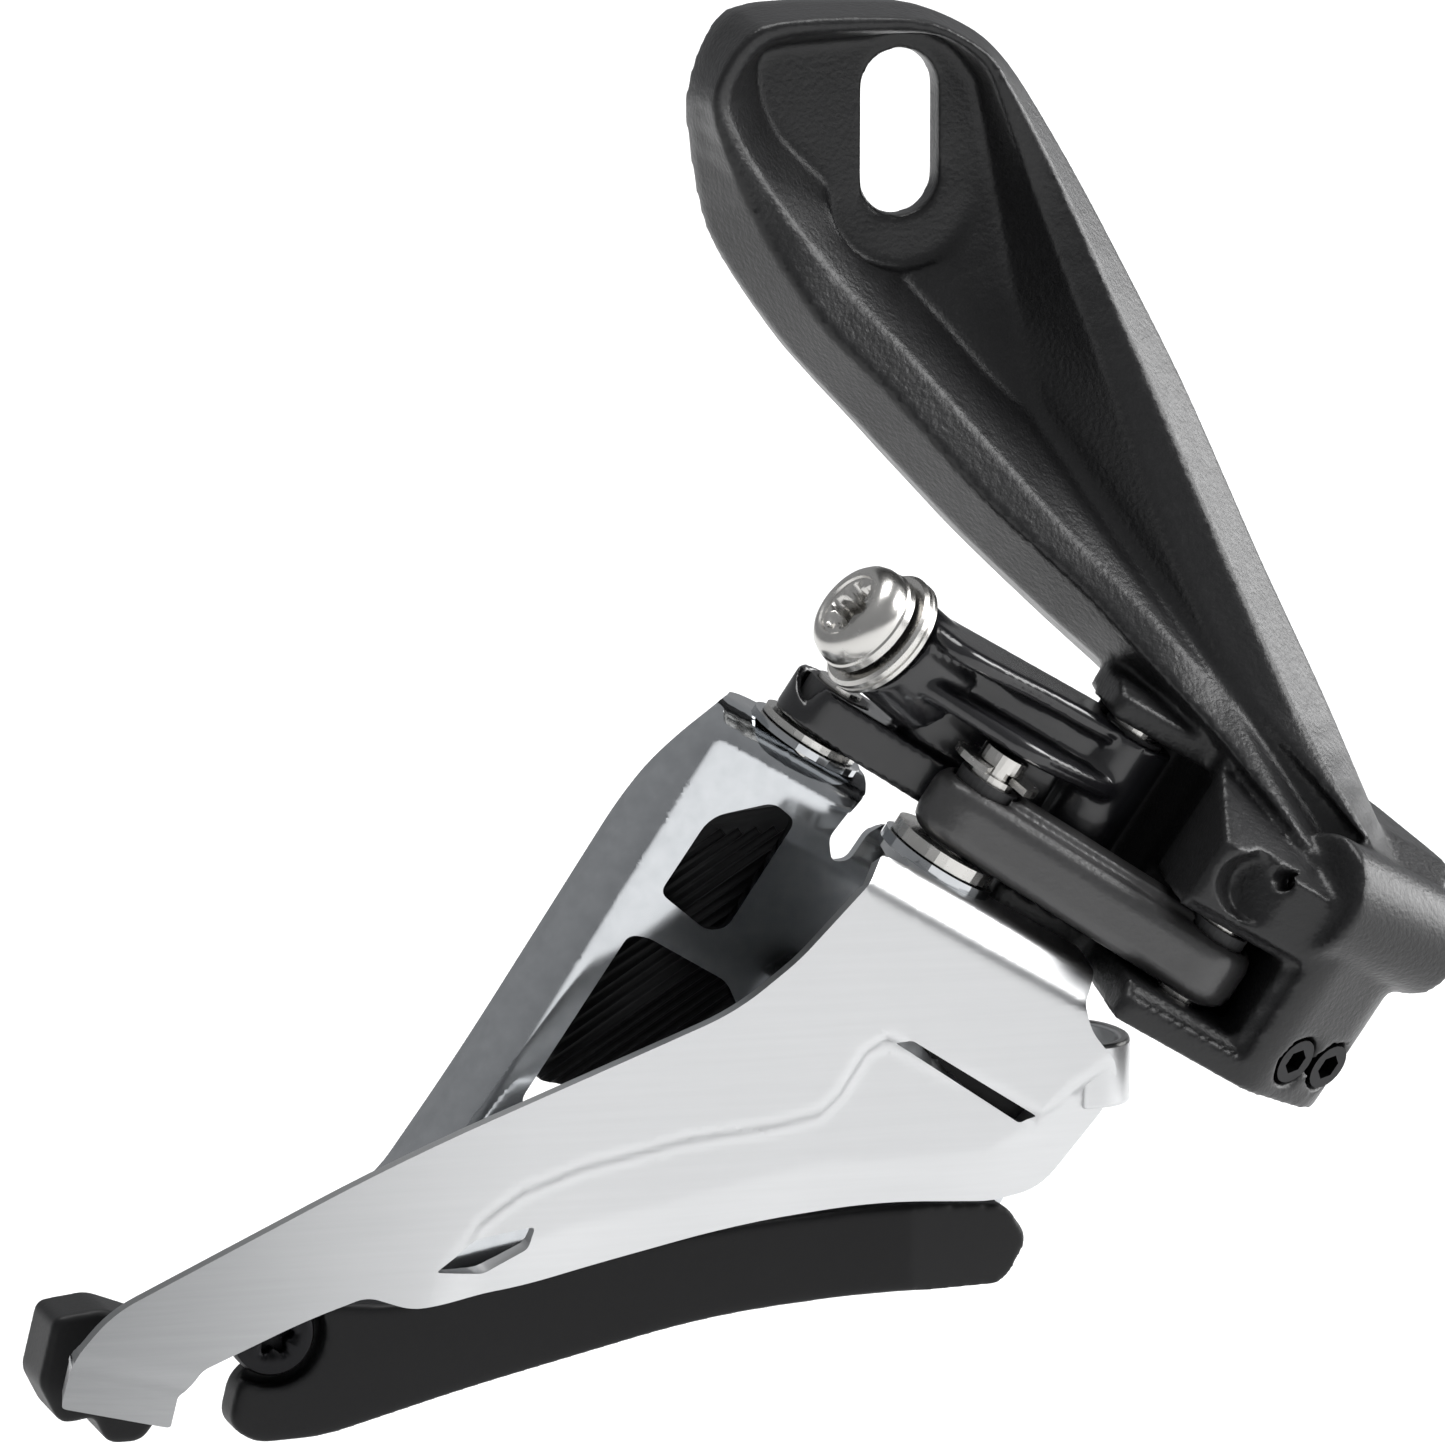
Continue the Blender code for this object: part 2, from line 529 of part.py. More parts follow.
def thickened(path):
    """The outline of a bent sheet whose one face follows a path."""
    ups, downs = [], []
    for index, point in enumerate(path):
        here = Vector(point)
        before = here - Vector(path[max(index - 1, 0)])
        after = Vector(path[min(index + 1, len(path) - 1)]) - here
        lead = (before.normalized() + after.normalized()).normalized()
        side = Vector((-lead.y, lead.x)) * SHEET
        ups.append(here)
        downs.append(here - side)
    return ups + downs[::-1]


def sheet_strip(name, path, first, last):
    """A bent strip of sheet: a path in (v, w) given its thickness and pushed along u."""
    return plate(name, thickened(path), first, last, LOCAL @ SIDEWAYS)


OUTER_PLATE = [
    (-9.4, -56.9, 0.8), (8.4, -68.0, 1.0), (8.7, -70.2, 1.0), (11.6, -73.4, 1.0), (10.6, -76.6, 1),
    (5.4, -83.2, 2.0), (1.0, -83.9, 1.0), (-8, -83.3, 6), (-20, -84.4, 10), (-32, -87.0, 6),
    (-38, -88.4, 3), (-47.4, -89.3, 1.2), (-51, -88.0, 1.0), (-56, -89.6, 4), (-65.6, -92.8, 1),
    (-74.6, -92.0, 0.5), (-74.8, -90.4, 1.0), (-71.2, -87.9, 3), (-48, -77.1, 8), (-27.4, -69.3, 8),
    (-20.6, -66.7, 3), (-15.4, -62.8, 1.5),
]
OUTER_HOLE = [(-45.0, -85.9, 0.4), (-42.2, -84.4, 0.6), (-37.4, -83.7, 0.4), (-38.2, -84.8, 0.4),
              (-41.6, -86.0, 0.5)]


def outer_cage_plate():
    """The silver outer plate, folded inwards at the top, the front and the tail."""
    body = plate("outer_cage_plate", rounded(OUTER_PLATE, 4), -OUTER_PLATE_Y - SHEET, -OUTER_PLATE_Y, OUTWARD,
                 cage_axis, SILVER)
    top = OUTER_FLANGE_TOP
    flange = sheet_strip("outer_flange", [(-3.4, -10.0), (-3.3, -7.4), (-1.2, top), (9.6, top)], -25.0, -7.2)
    join(body, flange)
    flange_end = rounded([(-16.2, 5.0, 1), (-5, 5.0, 0), (-5, 12, 0), (-16.2, 12, 0)])
    cut(body, plate("outer_flange_end", flange_end, -9, -2))
    bridge = [(9.0, -26.4), (11.4, -25.9), (13.0, -24.0), (13.9, -20.5), (13.2, -17.0), (11.2, -14.9),
              (7.2, -14.1)]
    join(body, plate("front_bridge", thickened(bridge), -76.4, -71.6, WORLD))
    cut(body, rod("front_rivet_hole", RIVET_RADIUS + GAP, 8, 15, FRONT_RIVET_AT, OUTWARD))
    tail = [(-26.9, -89.6), (-26.9, -91.6), (-24.6, -94.6), (-20.8, -96.4)]
    join(body, plate("tail_fold", thickened(tail), -74.6, -65.4, SIDEWAYS))
    cut(body, plate("outer_hole", rounded(OUTER_HOLE), 20, 35, OUTWARD))
    cut(body, rod("outer_flange_bore", PIN_BORE, -10, 0, OUTER_CAGE_PIVOT))
    return body


INNER_PLATE = [
    (-6.4, -51.6, 0.8), (-10.4, -50.2, 1), (-18.0, -51.2, 1), (-21.0, -52.6, 2), (-43.0, -80.0, 6),
    (-62.0, -91.0, 2), (-71.4, -92.2, 1), (-71.0, -97.0, 1), (-62.0, -97.8, 1), (-54, -95.0, 3),
    (-38, -91.2, 8), (-20, -88.8, 8), (5, -88.8, 2), (8.0, -84.0, 2), (10.6, -77.6, 1.5),
    (10.6, -71.0, 1.5), (4.0, -69.4, 2), (-3.4, -62.0, 3),
]
INNER_WINDOWS = {
    "window_upper": [(-22.8, -59.8, 0.5), (-18.6, -53.6, 1.2), (-13.2, -52.7, 0.8), (-11.4, -54.3, 0.6),
                     (-17.2, -63.0, 1.0), (-18.9, -63.1, 0.8)],
    "window_lower": [(-25.4, -63.1, 0.8), (-23.8, -63.4, 0.5), (-17.2, -67.4, 0.6), (-13.4, -76.0, 2),
                     (-30.0, -80.0, 2), (-34.6, -76.4, 1.0)],
}


def inner_cage_plate():
    """The chromed inner plate with its two windows and the ear that carries the inner pin."""
    body = plate("inner_cage_plate", rounded(INNER_PLATE, 4), -INNER_PLATE_Y - SHEET, -INNER_PLATE_Y, OUTWARD,
                 cage_axis, CHROME)
    top = INNER_FLANGE_TOP
    ear = sheet_strip("inner_flange", [(11.2, -9.5), (11.6, -6.6), (13.4, -4.6), (14.6, top), (20.2, top)],
                      -40.2, -27.6)
    join(body, ear)
    for name, outline in INNER_WINDOWS.items():
        cut(body, plate(name, rounded(outline), 5, 20, OUTWARD))
    cut(body, rod("inner_flange_bore", PIN_BORE, -10, 0, INNER_CAGE_PIVOT))
    cut(body, rod("tail_screw_hole", SCREW_SHANK + 0.4, 5, 20, TAIL_SCREW_AT, OUTWARD))
    cut(body, rod("front_rivet_seat", RIVET_RADIUS + GAP, 8, 15, FRONT_RIVET_AT, OUTWARD))
    cut(body, rod("tail_rivet_seat", RIVET_RADIUS + GAP, 8, 15, TAIL_RIVET_AT, OUTWARD))
    return body


def cage_rivets():
    """The rivets that hold the cage's front bridge and its tail spacer to the inner plate."""
    for name, place, end in (("front_rivet", FRONT_RIVET_AT, 15.2), ("tail_rivet", TAIL_RIVET_AT, 19.0)):
        rivet = rod(name, RIVET_RADIUS, 10.0, end, place, OUTWARD, cage_axis, STEEL, sides=20)
        join(rivet, rod(name + "_head", RIVET_HEAD, 9.4, 10.3, place, OUTWARD, tip=RIVET_HEAD + 0.2))


SKID = [
    (-59.8, -100.4, 1.2), (-59.0, -97.0, 1.0), (-52.0, -90.8, 1.5), (-46.0, -91.4, 2), (-36, -89.0, 4),
    (-20, -86.6, 6), (-4, -85.6, 4), (5.6, -86.6, 1), (7.8, -89.6, 1.4), (5.4, -93.2, 1.2), (-6, -92.9, 6),
    (-20, -94.0, 6), (-40.0, -98.6, 4), (-52.0, -101.8, 2), (-57.6, -102.0, 1.5),
]


def cage_resin():
    """The resin skid that the chain rubs, the ribbed pad behind the windows and the tail bumper."""
    skid = plate("skid_pad", rounded(SKID, 4), -INNER_PLATE_Y + GAP, -INNER_PLATE_Y + SKID_DEPTH, OUTWARD,
                 cage_axis, RESIN)
    cut(skid, rod("skid_screw_pocket", 4.4, 14.4, 30, TAIL_SCREW_AT, OUTWARD))
    cut(skid, rod("skid_screw_hole", SCREW_SHANK + 0.4, 5, 30, TAIL_SCREW_AT, OUTWARD))
    pad = [(-24.6, -60.4, 0.6), (-19.4, -54.2, 0.6), (-13.0, -54.2, 0.6), (-14.0, -66.0, 0.6),
           (-16.4, -72.0, 0.6), (-26.0, -76.6, 0.6), (-32.6, -75.0, 0.6)]
    plate("inner_pad", rounded(pad, 2), -INNER_PLATE_Y - SHEET - 4.0, -INNER_PLATE_Y - SHEET - 0.3, OUTWARD,
          cage_axis, RESIN)
    bumper = [(-74.6, -89.9, 0.8), (-70.6, -89.4, 0.8), (-65.4, -91.4, 0.8), (-65.0, -97.0, 0.8),
              (-68.0, -98.8, 0.6), (-70.4, -98.8, 0.8), (-71.6, -97.4, 0.4), (-74.4, -97.6, 0.6),
              (-75.9, -95.2, 0.6)]
    bumper = plate("tail_bumper", rounded(bumper, 3), -INNER_PLATE_Y + GAP, 19.6, OUTWARD, cage_axis, RESIN)
    cut(bumper, rod("bumper_hole", RIVET_RADIUS + GAP, 8, 19.3, TAIL_RIVET_AT, OUTWARD))
    screw = rod("tail_screw", 3.5, 14.7, 17.0, TAIL_SCREW_AT, OUTWARD, cage_axis, RESIN)
    join(screw, rod("tail_screw_shank", SCREW_SHANK, 9.6, 15.2, TAIL_SCREW_AT, OUTWARD))
    cut(screw, rod("tail_screw_socket", 1.8, 15.4, 19.0, TAIL_SCREW_AT, OUTWARD, sides=6))


outer_cage_plate()
inner_cage_plate()
cage_resin()
cage_rivets()
outer_link()
inner_link()
pins_and_bushes()
return_spring()
for screw_name, screw_place in SCREW_PLACES.items():
    limit_screw(screw_name, screw_place)
clamp_bolt()
mount_bracket()
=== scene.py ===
"""The looks of a side-swing front derailleur, one section a piece, in the order it is put together.

World frame: +X forward, +Y towards the bicycle's left side, +Z up, metres. Sizes are in millimetres
and are scaled by MM. The linkage has its own frame: forward and down, inboard, and along the pins.
"""
import json
from math import atan2, cos, hypot, pi, radians, sin

import bmesh
import bpy
from mathutils import Matrix, Vector


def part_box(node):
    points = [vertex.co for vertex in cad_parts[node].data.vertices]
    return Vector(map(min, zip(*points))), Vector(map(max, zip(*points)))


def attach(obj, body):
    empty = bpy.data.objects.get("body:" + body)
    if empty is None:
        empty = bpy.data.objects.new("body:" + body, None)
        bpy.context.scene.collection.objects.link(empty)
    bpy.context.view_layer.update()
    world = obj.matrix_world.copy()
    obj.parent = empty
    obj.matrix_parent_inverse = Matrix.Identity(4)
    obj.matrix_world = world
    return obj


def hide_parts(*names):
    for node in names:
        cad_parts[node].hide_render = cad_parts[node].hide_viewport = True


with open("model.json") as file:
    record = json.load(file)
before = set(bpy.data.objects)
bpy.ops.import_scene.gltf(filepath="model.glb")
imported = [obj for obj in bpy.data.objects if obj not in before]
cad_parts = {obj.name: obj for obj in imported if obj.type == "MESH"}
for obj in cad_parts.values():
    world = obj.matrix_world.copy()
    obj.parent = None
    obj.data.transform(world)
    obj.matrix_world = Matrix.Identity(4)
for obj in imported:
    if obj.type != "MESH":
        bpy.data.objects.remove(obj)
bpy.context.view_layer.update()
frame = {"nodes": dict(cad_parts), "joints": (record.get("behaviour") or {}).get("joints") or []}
MM = 0.001

# ---------------------------------------------------------------- studio
# A pale floor well below the part, soft overhead and side lights, and a long lens that looks
# at the part from a little behind and above its outboard side.
LOOK_AT = Vector((-18.7, -16.0, -45.4)) * MM
AROUND, ABOVE, AWAY = radians(-16), radians(10), 850 * MM
LENS = 264.7
FLOOR_LEVEL = -150 * MM
FLOOR_SIZE = 12.0
FLOOR_COLOUR = (0.93, 0.93, 0.93, 1)
SKY_LOW, SKY_HIGH, SKY_LEVEL = (0.75, 0.76, 0.78, 1), (0.95, 0.96, 0.98, 1), 0.42

sight = Vector((sin(AROUND) * cos(ABOVE), -cos(AROUND) * cos(ABOVE), sin(ABOVE)))
camera = bpy.data.objects.new("camera", bpy.data.cameras.new("camera"))
camera.data.lens = LENS
camera.data.clip_start = 10 * MM
camera.data.clip_end = 60.0
camera.location = LOOK_AT + sight * AWAY
camera.rotation_euler = (-sight).to_track_quat("-Z", "Y").to_euler()
bpy.context.scene.collection.objects.link(camera)
bpy.context.scene.camera = camera
bpy.context.scene.view_settings.view_transform = "Standard"

bm = bmesh.new()
bmesh.ops.create_grid(bm, x_segments=2, y_segments=2, size=FLOOR_SIZE)
bmesh.ops.translate(bm, verts=bm.verts, vec=(0, 0, FLOOR_LEVEL))
floor_mesh = bpy.data.meshes.new("floor")
bm.to_mesh(floor_mesh)
bm.free()
floor = bpy.data.objects.new("floor", floor_mesh)
bpy.context.scene.collection.objects.link(floor)
pale = bpy.data.materials.new("pale_floor")
pale.use_nodes = True
pale_shader = pale.node_tree.nodes["Principled BSDF"]
pale_shader.inputs["Base Color"].default_value = FLOOR_COLOUR
pale_shader.inputs["Roughness"].default_value = 0.9
pale_shader.inputs["Specular IOR Level"].default_value = 0.1
floor.data.materials.append(pale)


def softbox(name, direction, distance, width, height, power):
    """A rectangular light that faces the part: distance and sides in metres, power in watts."""
    data = bpy.data.lights.new(name, "AREA")
    data.shape = "RECTANGLE"
    data.size = width
    data.size_y = height
    data.energy = power
    light = bpy.data.objects.new(name, data)
    light.location = LOOK_AT + Vector(direction).normalized() * distance
    light.rotation_euler = Vector(direction).to_track_quat("Z", "Y").to_euler()
    light.visible_camera = False
    bpy.context.scene.collection.objects.link(light)


softbox("overhead", (0.05, 0.12, 1.0), 5.0, 3.0, 3.0, 190)
softbox("right_side", (0.95, 0.12, 0.13), 2.4, 2.5, 1.2, 62)
softbox("key", (0.80, -0.26, 0.54), 2.3, 1.3, 0.8, 36)

world = bpy.data.worlds.new("studio")
world.use_nodes = True
bpy.context.scene.world = world
sky = world.node_tree.nodes
reach = world.node_tree.links
way = sky.new("ShaderNodeTexCoord")
split = sky.new("ShaderNodeSeparateXYZ")
shade = sky.new("ShaderNodeValToRGB")
shade.color_ramp.elements[0].color = SKY_LOW
shade.color_ramp.elements[1].position = 0.75
shade.color_ramp.elements[1].color = SKY_HIGH
reach.new(way.outputs["Generated"], split.inputs[0])
reach.new(split.outputs["Z"], shade.inputs[0])
reach.new(shade.outputs[0], sky["Background"].inputs["Color"])
sky["Background"].inputs["Strength"].default_value = SKY_LEVEL

# ---------------------------------------------------------------- mount bracket
# The arm that bolts to the frame through its slot, dished and leaning outboard, with the housing of
# the linkage at its lower end. One forged and machined aluminium piece, painted satin black.


class Field:
    """A socket of a material's node tree, or the tree alone: sums and products add Math nodes."""

    def __init__(self, tree, socket=None):
        self.tree = tree
        self.socket = socket

    def node(self, kind, settings, inputs, output=0):
        """A new node with its settings made first, then its sockets' values and links."""
        made = self.tree.nodes.new(kind)
        for name, value in settings.items():
            setattr(made, name, value)
        for name, value in inputs.items():
            if isinstance(value, Field):
                self.tree.links.new(value.socket, made.inputs[name])
            else:
                made.inputs[name].default_value = value
        return Field(self.tree, made.outputs[output])

    def maths(self, operation, first, second):
        return self.node("ShaderNodeMath", {"operation": operation}, {0: first, 1: second})

    def __add__(self, other):
        return self.maths("ADD", self, other)

    def __radd__(self, other):
        return self.maths("ADD", other, self)

    def __mul__(self, other):
        return self.maths("MULTIPLY", self, other)

    def __rmul__(self, other):
        return self.maths("MULTIPLY", other, self)

    def noise(self, place, scale, detail=2.0, roughness=0.5):
        return self.node("ShaderNodeTexNoise", {"noise_dimensions": "3D"},
                         {"Vector": place, "Scale": scale, "Detail": detail, "Roughness": roughness})

    def blend(self, share, low, high):
        """A colour between two, by a share from 0 to 1."""
        return self.node("ShaderNodeMix", {"data_type": "RGBA"},
                         {0: share, 6: (*low, 1), 7: (*high, 1)}, output=2)

    def bump(self, height, strength, distance):
        """A bumped normal: strength from 0 to 1, and the bumps' height in mm."""
        return self.node("ShaderNodeBump", {},
                         {"Height": height, "Strength": strength, "Distance": distance * MM})

    def feed(self, shader, name):
        self.tree.links.new(self.socket, shader.inputs[name])


def finish(name, constants):
    """A material with its shader's constant sockets set, its tree and its Object coordinates."""
    made = bpy.data.materials.new(name)
    made.use_nodes = True
    shader = made.node_tree.nodes["Principled BSDF"]
    for socket, value in constants.items():
        shader.inputs[socket].default_value = value
    tree = Field(made.node_tree)
    place = tree.node("ShaderNodeTexCoord", {}, {}, output=3)
    return made, shader, tree, place


def satin_paint(name, dark, light, gloss, grain, shine=0.3):
    """Fine-grained paint over metal: mottled a little, with a pebbled surface and worn gloss."""
    made, shader, tree, place = finish(name, {"Specular IOR Level": shine})
    cloud = tree.noise(place, 60, 3)
    pebble = tree.noise(place, 2300, 2, 0.5)
    worn = tree.noise(place, 700, 3, 0.5)
    tree.blend(cloud * 0.6 + pebble * 0.4, dark, light).feed(shader, "Base Color")
    (gloss + worn * 0.14 + pebble * 0.08).feed(shader, "Roughness")
    tree.bump(pebble + worn * 0.3, grain, 0.09).feed(shader, "Normal")
    return made


SHARP = 40                                             # an edge that turns by more degrees is kept sharp
MERGE = 0.004                                          # vertices closer than this many mm are one


def rounded(corners, steps=5):
    """Points of a polygon of (x, y, radius) corners, each corner softened by a small curve."""
    points = []
    for index, (x, y, radius) in enumerate(corners):
        here = Vector((x, y))
        before = Vector(corners[index - 1][:2]) - here
        after = Vector(corners[(index + 1) % len(corners)][:2]) - here
        length = min(radius, before.length * 0.45, after.length * 0.45)
        if length == 0:
            points.append(here)
            continue
        first, last = here + before.normalized() * length, here + after.normalized() * length
        for step in range(steps + 1):
            t = step / steps
            points.append(first * (1 - t) ** 2 + here * 2 * t * (1 - t) + last * t ** 2)
    return points


def placed(name, bm, smooth_angle=SHARP):
    """An object from a bmesh: doubles merged, faces out, shaded smooth except at sharp edges."""
    bmesh.ops.remove_doubles(bm, verts=bm.verts, dist=MERGE * MM)
    bmesh.ops.recalc_face_normals(bm, faces=bm.faces)
    mesh = bpy.data.meshes.new(name)
    bm.to_mesh(mesh)
    bm.free()
    mesh.shade_smooth()
    mesh.set_sharp_from_angle(angle=radians(smooth_angle))
    piece = bpy.data.objects.new(name, mesh)
    bpy.context.scene.collection.objects.link(piece)
    return piece


def prism(outline, low, high, place=Matrix(), bevel=0.0):
    """A closed mesh: an outline in mm, filled, pushed from one level to another and placed."""
    bm = bmesh.new()
    base = bm.faces.new([bm.verts.new((x * MM, y * MM, low * MM)) for x, y in outline])
    grown = bmesh.ops.extrude_face_region(bm, geom=[base])
    moved = [part for part in grown["geom"] if isinstance(part, bmesh.types.BMVert)]
    bmesh.ops.translate(bm, verts=moved, vec=(0, 0, (high - low) * MM))
    bmesh.ops.recalc_face_normals(bm, faces=bm.faces)
    if bevel:
        rims = [edge for edge in bm.edges if edge.calc_face_angle(0) > radians(SHARP)]
        bmesh.ops.bevel(bm, geom=rims, offset=bevel * MM, offset_type="OFFSET", affect="EDGES",
                        segments=3, profile=0.5, material=-1, clamp_overlap=True)
    bmesh.ops.triangulate(bm, faces=[face for face in bm.faces if len(face.verts) > 4])
    bm.transform(place)
    return bm


def cylinder(radius, low, high, place=Matrix(), tip=None, sides=48):
    """A closed round bar or cone between two levels, placed."""
    bm = bmesh.new()
    bmesh.ops.create_cone(bm, cap_ends=True, segments=sides, radius1=radius * MM,
                          radius2=(radius if tip is None else tip) * MM, depth=(high - low) * MM)
    bmesh.ops.translate(bm, verts=bm.verts, vec=(0, 0, (high + low) / 2 * MM))
    bm.transform(place)
    return bm


def applied(piece):
    """The piece with its modifiers made part of its mesh."""
    bpy.context.view_layer.update()
    depsgraph = bpy.context.evaluated_depsgraph_get()
    piece.data = bpy.data.meshes.new_from_object(piece.evaluated_get(depsgraph))
    piece.modifiers.clear()
    return piece


def combined(piece, operation, *shapes):
    """The piece united with, or cut by, each closed shape in turn."""
    for shape in shapes:
        tool = placed("tool", shape)
        step = piece.modifiers.new("step", "BOOLEAN")
        step.operation = operation
        step.object = tool
        applied(piece)
        bpy.data.objects.remove(tool)
    return piece


def cast(piece, voxel, rounds):
    """The piece as a casting: every edge and inner corner gets a small fillet."""
    grain = piece.modifiers.new("grain", "REMESH")
    grain.mode = "VOXEL"
    grain.voxel_size = voxel * MM
    grain.use_smooth_shade = True
    ease = piece.modifiers.new("ease", "SMOOTH")
    ease.factor = 0.5
    ease.iterations = rounds
    applied(piece)
    piece.data.shade_smooth()
    return piece


# The linkage's frame, read from the hinge that carries the outer link.
hinges = {joint["name"]: joint for joint in frame["joints"]}
pin_way = Vector(hinges["outer_link_swing"]["axis"])
forward = Vector((pin_way.z, 0, -pin_way.x)).normalized()
inboard = pin_way.cross(forward)
linkage_at = Vector(hinges["outer_link_swing"]["pos_m"])
LINKAGE = Matrix.Translation(linkage_at) @ Matrix((forward, inboard, pin_way)).transposed().to_4x4()
OUTWARD = Matrix.Rotation(radians(90), 4, "X")       # drawn in (x, z), pushed towards -Y


def on_axis(hinge):
    """A frame whose Z runs along a hinge's axis from its place."""
    turn = Vector(hinge["axis"]).to_track_quat("Z", "Y").to_matrix().to_4x4()
    return Matrix.Translation(hinge["pos_m"]) @ turn


def in_linkage(start, direction):
    """A frame whose Z runs along a direction of the linkage's frame from a start point in mm."""
    turn = Vector(direction).to_track_quat("Z", "Y").to_matrix().to_4x4()
    return LINKAGE @ Matrix.Translation(Vector(start) * MM) @ turn


# Stations round the arm, in mm: outer edge (x, z), shoulder depth, front edge (x, z), front depth,
# inner edge of the rim (x, z), and dished floor (x, z).
STATIONS = [
    (-13.6, 10.3, 2.5, -13.0, 9.4, 8.4, -12.2, 8.2, -11.2, 7.2),
    (-17.3, 3.2, 2.5, -17.2, 3.2, 8.2, -15.8, 3.0, -11.9, 4.2),
    (-15.6, -7.6, 1.5, -13.2, -7.0, 8.6, -12.0, -4.4, -10.4, 0.2),
    (-9.8, -16.6, 1.5, -8.2, -14.8, 9.0, -6.6, -11.4, -6.6, -3.6),
    (-3.5, -23.6, 1.5, -2.6, -20.6, 9.0, -0.8, -17.6, -3.0, -8.2),
    (5.2, -33.0, 1.5, 5.4, -29.6, 9.0, 6.4, -25.8, 2.0, -14.0),
    (13.0, -40.6, 2.0, 13.6, -37.4, 9.4, 14.0, -34.4, 6.4, -19.2),
    (18.4, -45.6, 3.0, 19.0, -43.6, 10.4, 20.6, -41.4, 9.2, -22.0),
    (24.0, -51.6, 4.0, 24.4, -49.8, 12.0, 24.6, -45.6, 10.4, -23.2),
    (30.4, -60.0, 6.0, 30.6, -58.6, 16.0, 25.3, -46.3, 11.0, -23.4),
    (37.0, -67.4, 8.0, 36.4, -66.2, 20.0, 25.8, -46.5, 11.4, -23.2),
    (43.4, -67.2, 8.0, 41.4, -65.6, 18.0, 26.0, -46.0, 11.6, -22.6),
    (40.2, -59.6, 6.0, 37.2, -60.0, 14.0, 25.9, -45.4, 11.5, -22.0),
    (35.4, -47.8, 5.0, 31.4, -49.0, 11.0, 25.2, -43.6, 11.0, -21.0),
    (30.2, -36.0, 4.0, 26.0, -36.4, 9.6, 21.4, -35.4, 10.4, -18.6),
    (23.4, -20.6, 4.0, 18.8, -19.6, 9.2, 16.2, -20.8, 9.2, -13.0),
    (15.2, -4.8, 4.0, 11.6, -3.8, 9.0, 10.4, -6.6, 7.6, -3.6),
    (9.6, 4.4, 4.0, 7.4, 4.2, 8.6, 7.0, 2.6, 6.8, 1.8),
    (6.4, 8.0, 3.0, 5.4, 7.0, 8.4, 5.2, 6.2, 5.6, 5.2),
    (0.2, 10.5, 3.0, 0.0, 9.6, 8.4, -0.2, 8.6, -0.4, 7.8),
]
RIM_FALL, TIP_DEPTH, FLOOR_DEPTH = 0.6, 9.8, 3.0
LEAN_FROM, LEAN_RATE, DEEPEST = -9.0, 0.30, 30.0      # the arm leans outboard below this height
LEAN_BACK, LEAN_UP = 0.287, 0.184                     # and its outline moves back and up with it
TAUTNESS = 0.36                                       # of the arm's curves: 0.5 is round, 0 a polygon
SLOT_HALF_WIDTH, SLOT_HALF_RUN = 3.3, 3.5
SEAT_HALF_WIDTH, SEAT_TOP = 6.4, 14
SEAT_DROP = Matrix.Translation((0, 0, -1.4 * MM))
ROOF_TOP, ROOF_EAVE = 15.5, 10.6                      # the housing's roof slopes to its front wall
EAR_LOW, EAR_TOP, WINDOW_TOP, ARM_ROOM_TOP = -6.4, -3.2, 4.1, 12.7
STOP_LOW, STOP_END, STOP_RADIUS, STOP_TIP = 4, 18.5, 5.2, 4.6
HOSE_BORE, HOSE_STOP, WIRE_BORE = 2.6, 8, 0.9
SPRING_ROOM, SPRING_TOP = 3.9, 10.6
SCOOP_RADIUS, SCOOP_DEPTH = 2.8, 1.6
PIN_BORE, OUTER_PIN_TOP, INNER_PIN_TOP = 2.3, 11.4, 14.3
SCREW_BORE, SCREW_DEPTH = 2.3, 8.2
PAST = 5                                              # how far a cut starts outside what it cuts


def loop_through(points, per=5):
    """A closed curve through points, several steps from each to the next."""
    found = []
    for index in range(len(points)):
        a, b, c, d = (Vector(points[(index + k - 1) % len(points)]) for k in range(4))
        for step in range(per):
            t = step / per
            onward = (c - a) * TAUTNESS
            leaving = (d - b) * TAUTNESS
            found.append(b + onward * t + (3 * (c - b) - 2 * onward - leaving) * t * t
                         + (2 * (b - c) + onward + leaving) * t ** 3)
    return found


def stadium(half_width, half_run, steps=14):
    turns = [pi * step / steps for step in range(steps + 1)]
    upper = [(half_width * cos(turn), half_run + half_width * sin(turn)) for turn in turns]
    return upper + [(-x, -z) for x, z in upper]


def leaned(x, z, depth):
    """A point of the arm's section, in (x, z) and depth, moved outboard by the arm's lean."""
    lean = min(LEAN_RATE * max(LEAN_FROM - z, 0), DEEPEST - depth) if depth else 0
    return (x - LEAN_BACK * lean, -depth - lean, z + LEAN_UP * lean)


bm = bmesh.new()
loops = []
rings = [(0, lambda row: 0.0),
         (0, lambda row: row[2]),
         (3, lambda row: row[5]),
         (6, lambda row: min(row[5] - RIM_FALL, TIP_DEPTH)),
         (8, lambda row: FLOOR_DEPTH)]
for pick, depth in rings:
    points = loop_through([leaned(row[pick], row[pick + 1], depth(row)) for row in STATIONS])
    verts = [bm.verts.new(point * MM) for point in points]
    loops.append([bm.edges.new((verts[k - 1], verts[k])) for k in range(len(verts))])
for lower, upper in zip(loops, loops[1:]):
    bmesh.ops.bridge_loops(bm, edges=lower + upper)
bmesh.ops.holes_fill(bm, edges=loops[0] + loops[-1], sides=0)
bmesh.ops.triangulate(bm, faces=bm.faces)
bracket = placed("bracket_casting", bm)

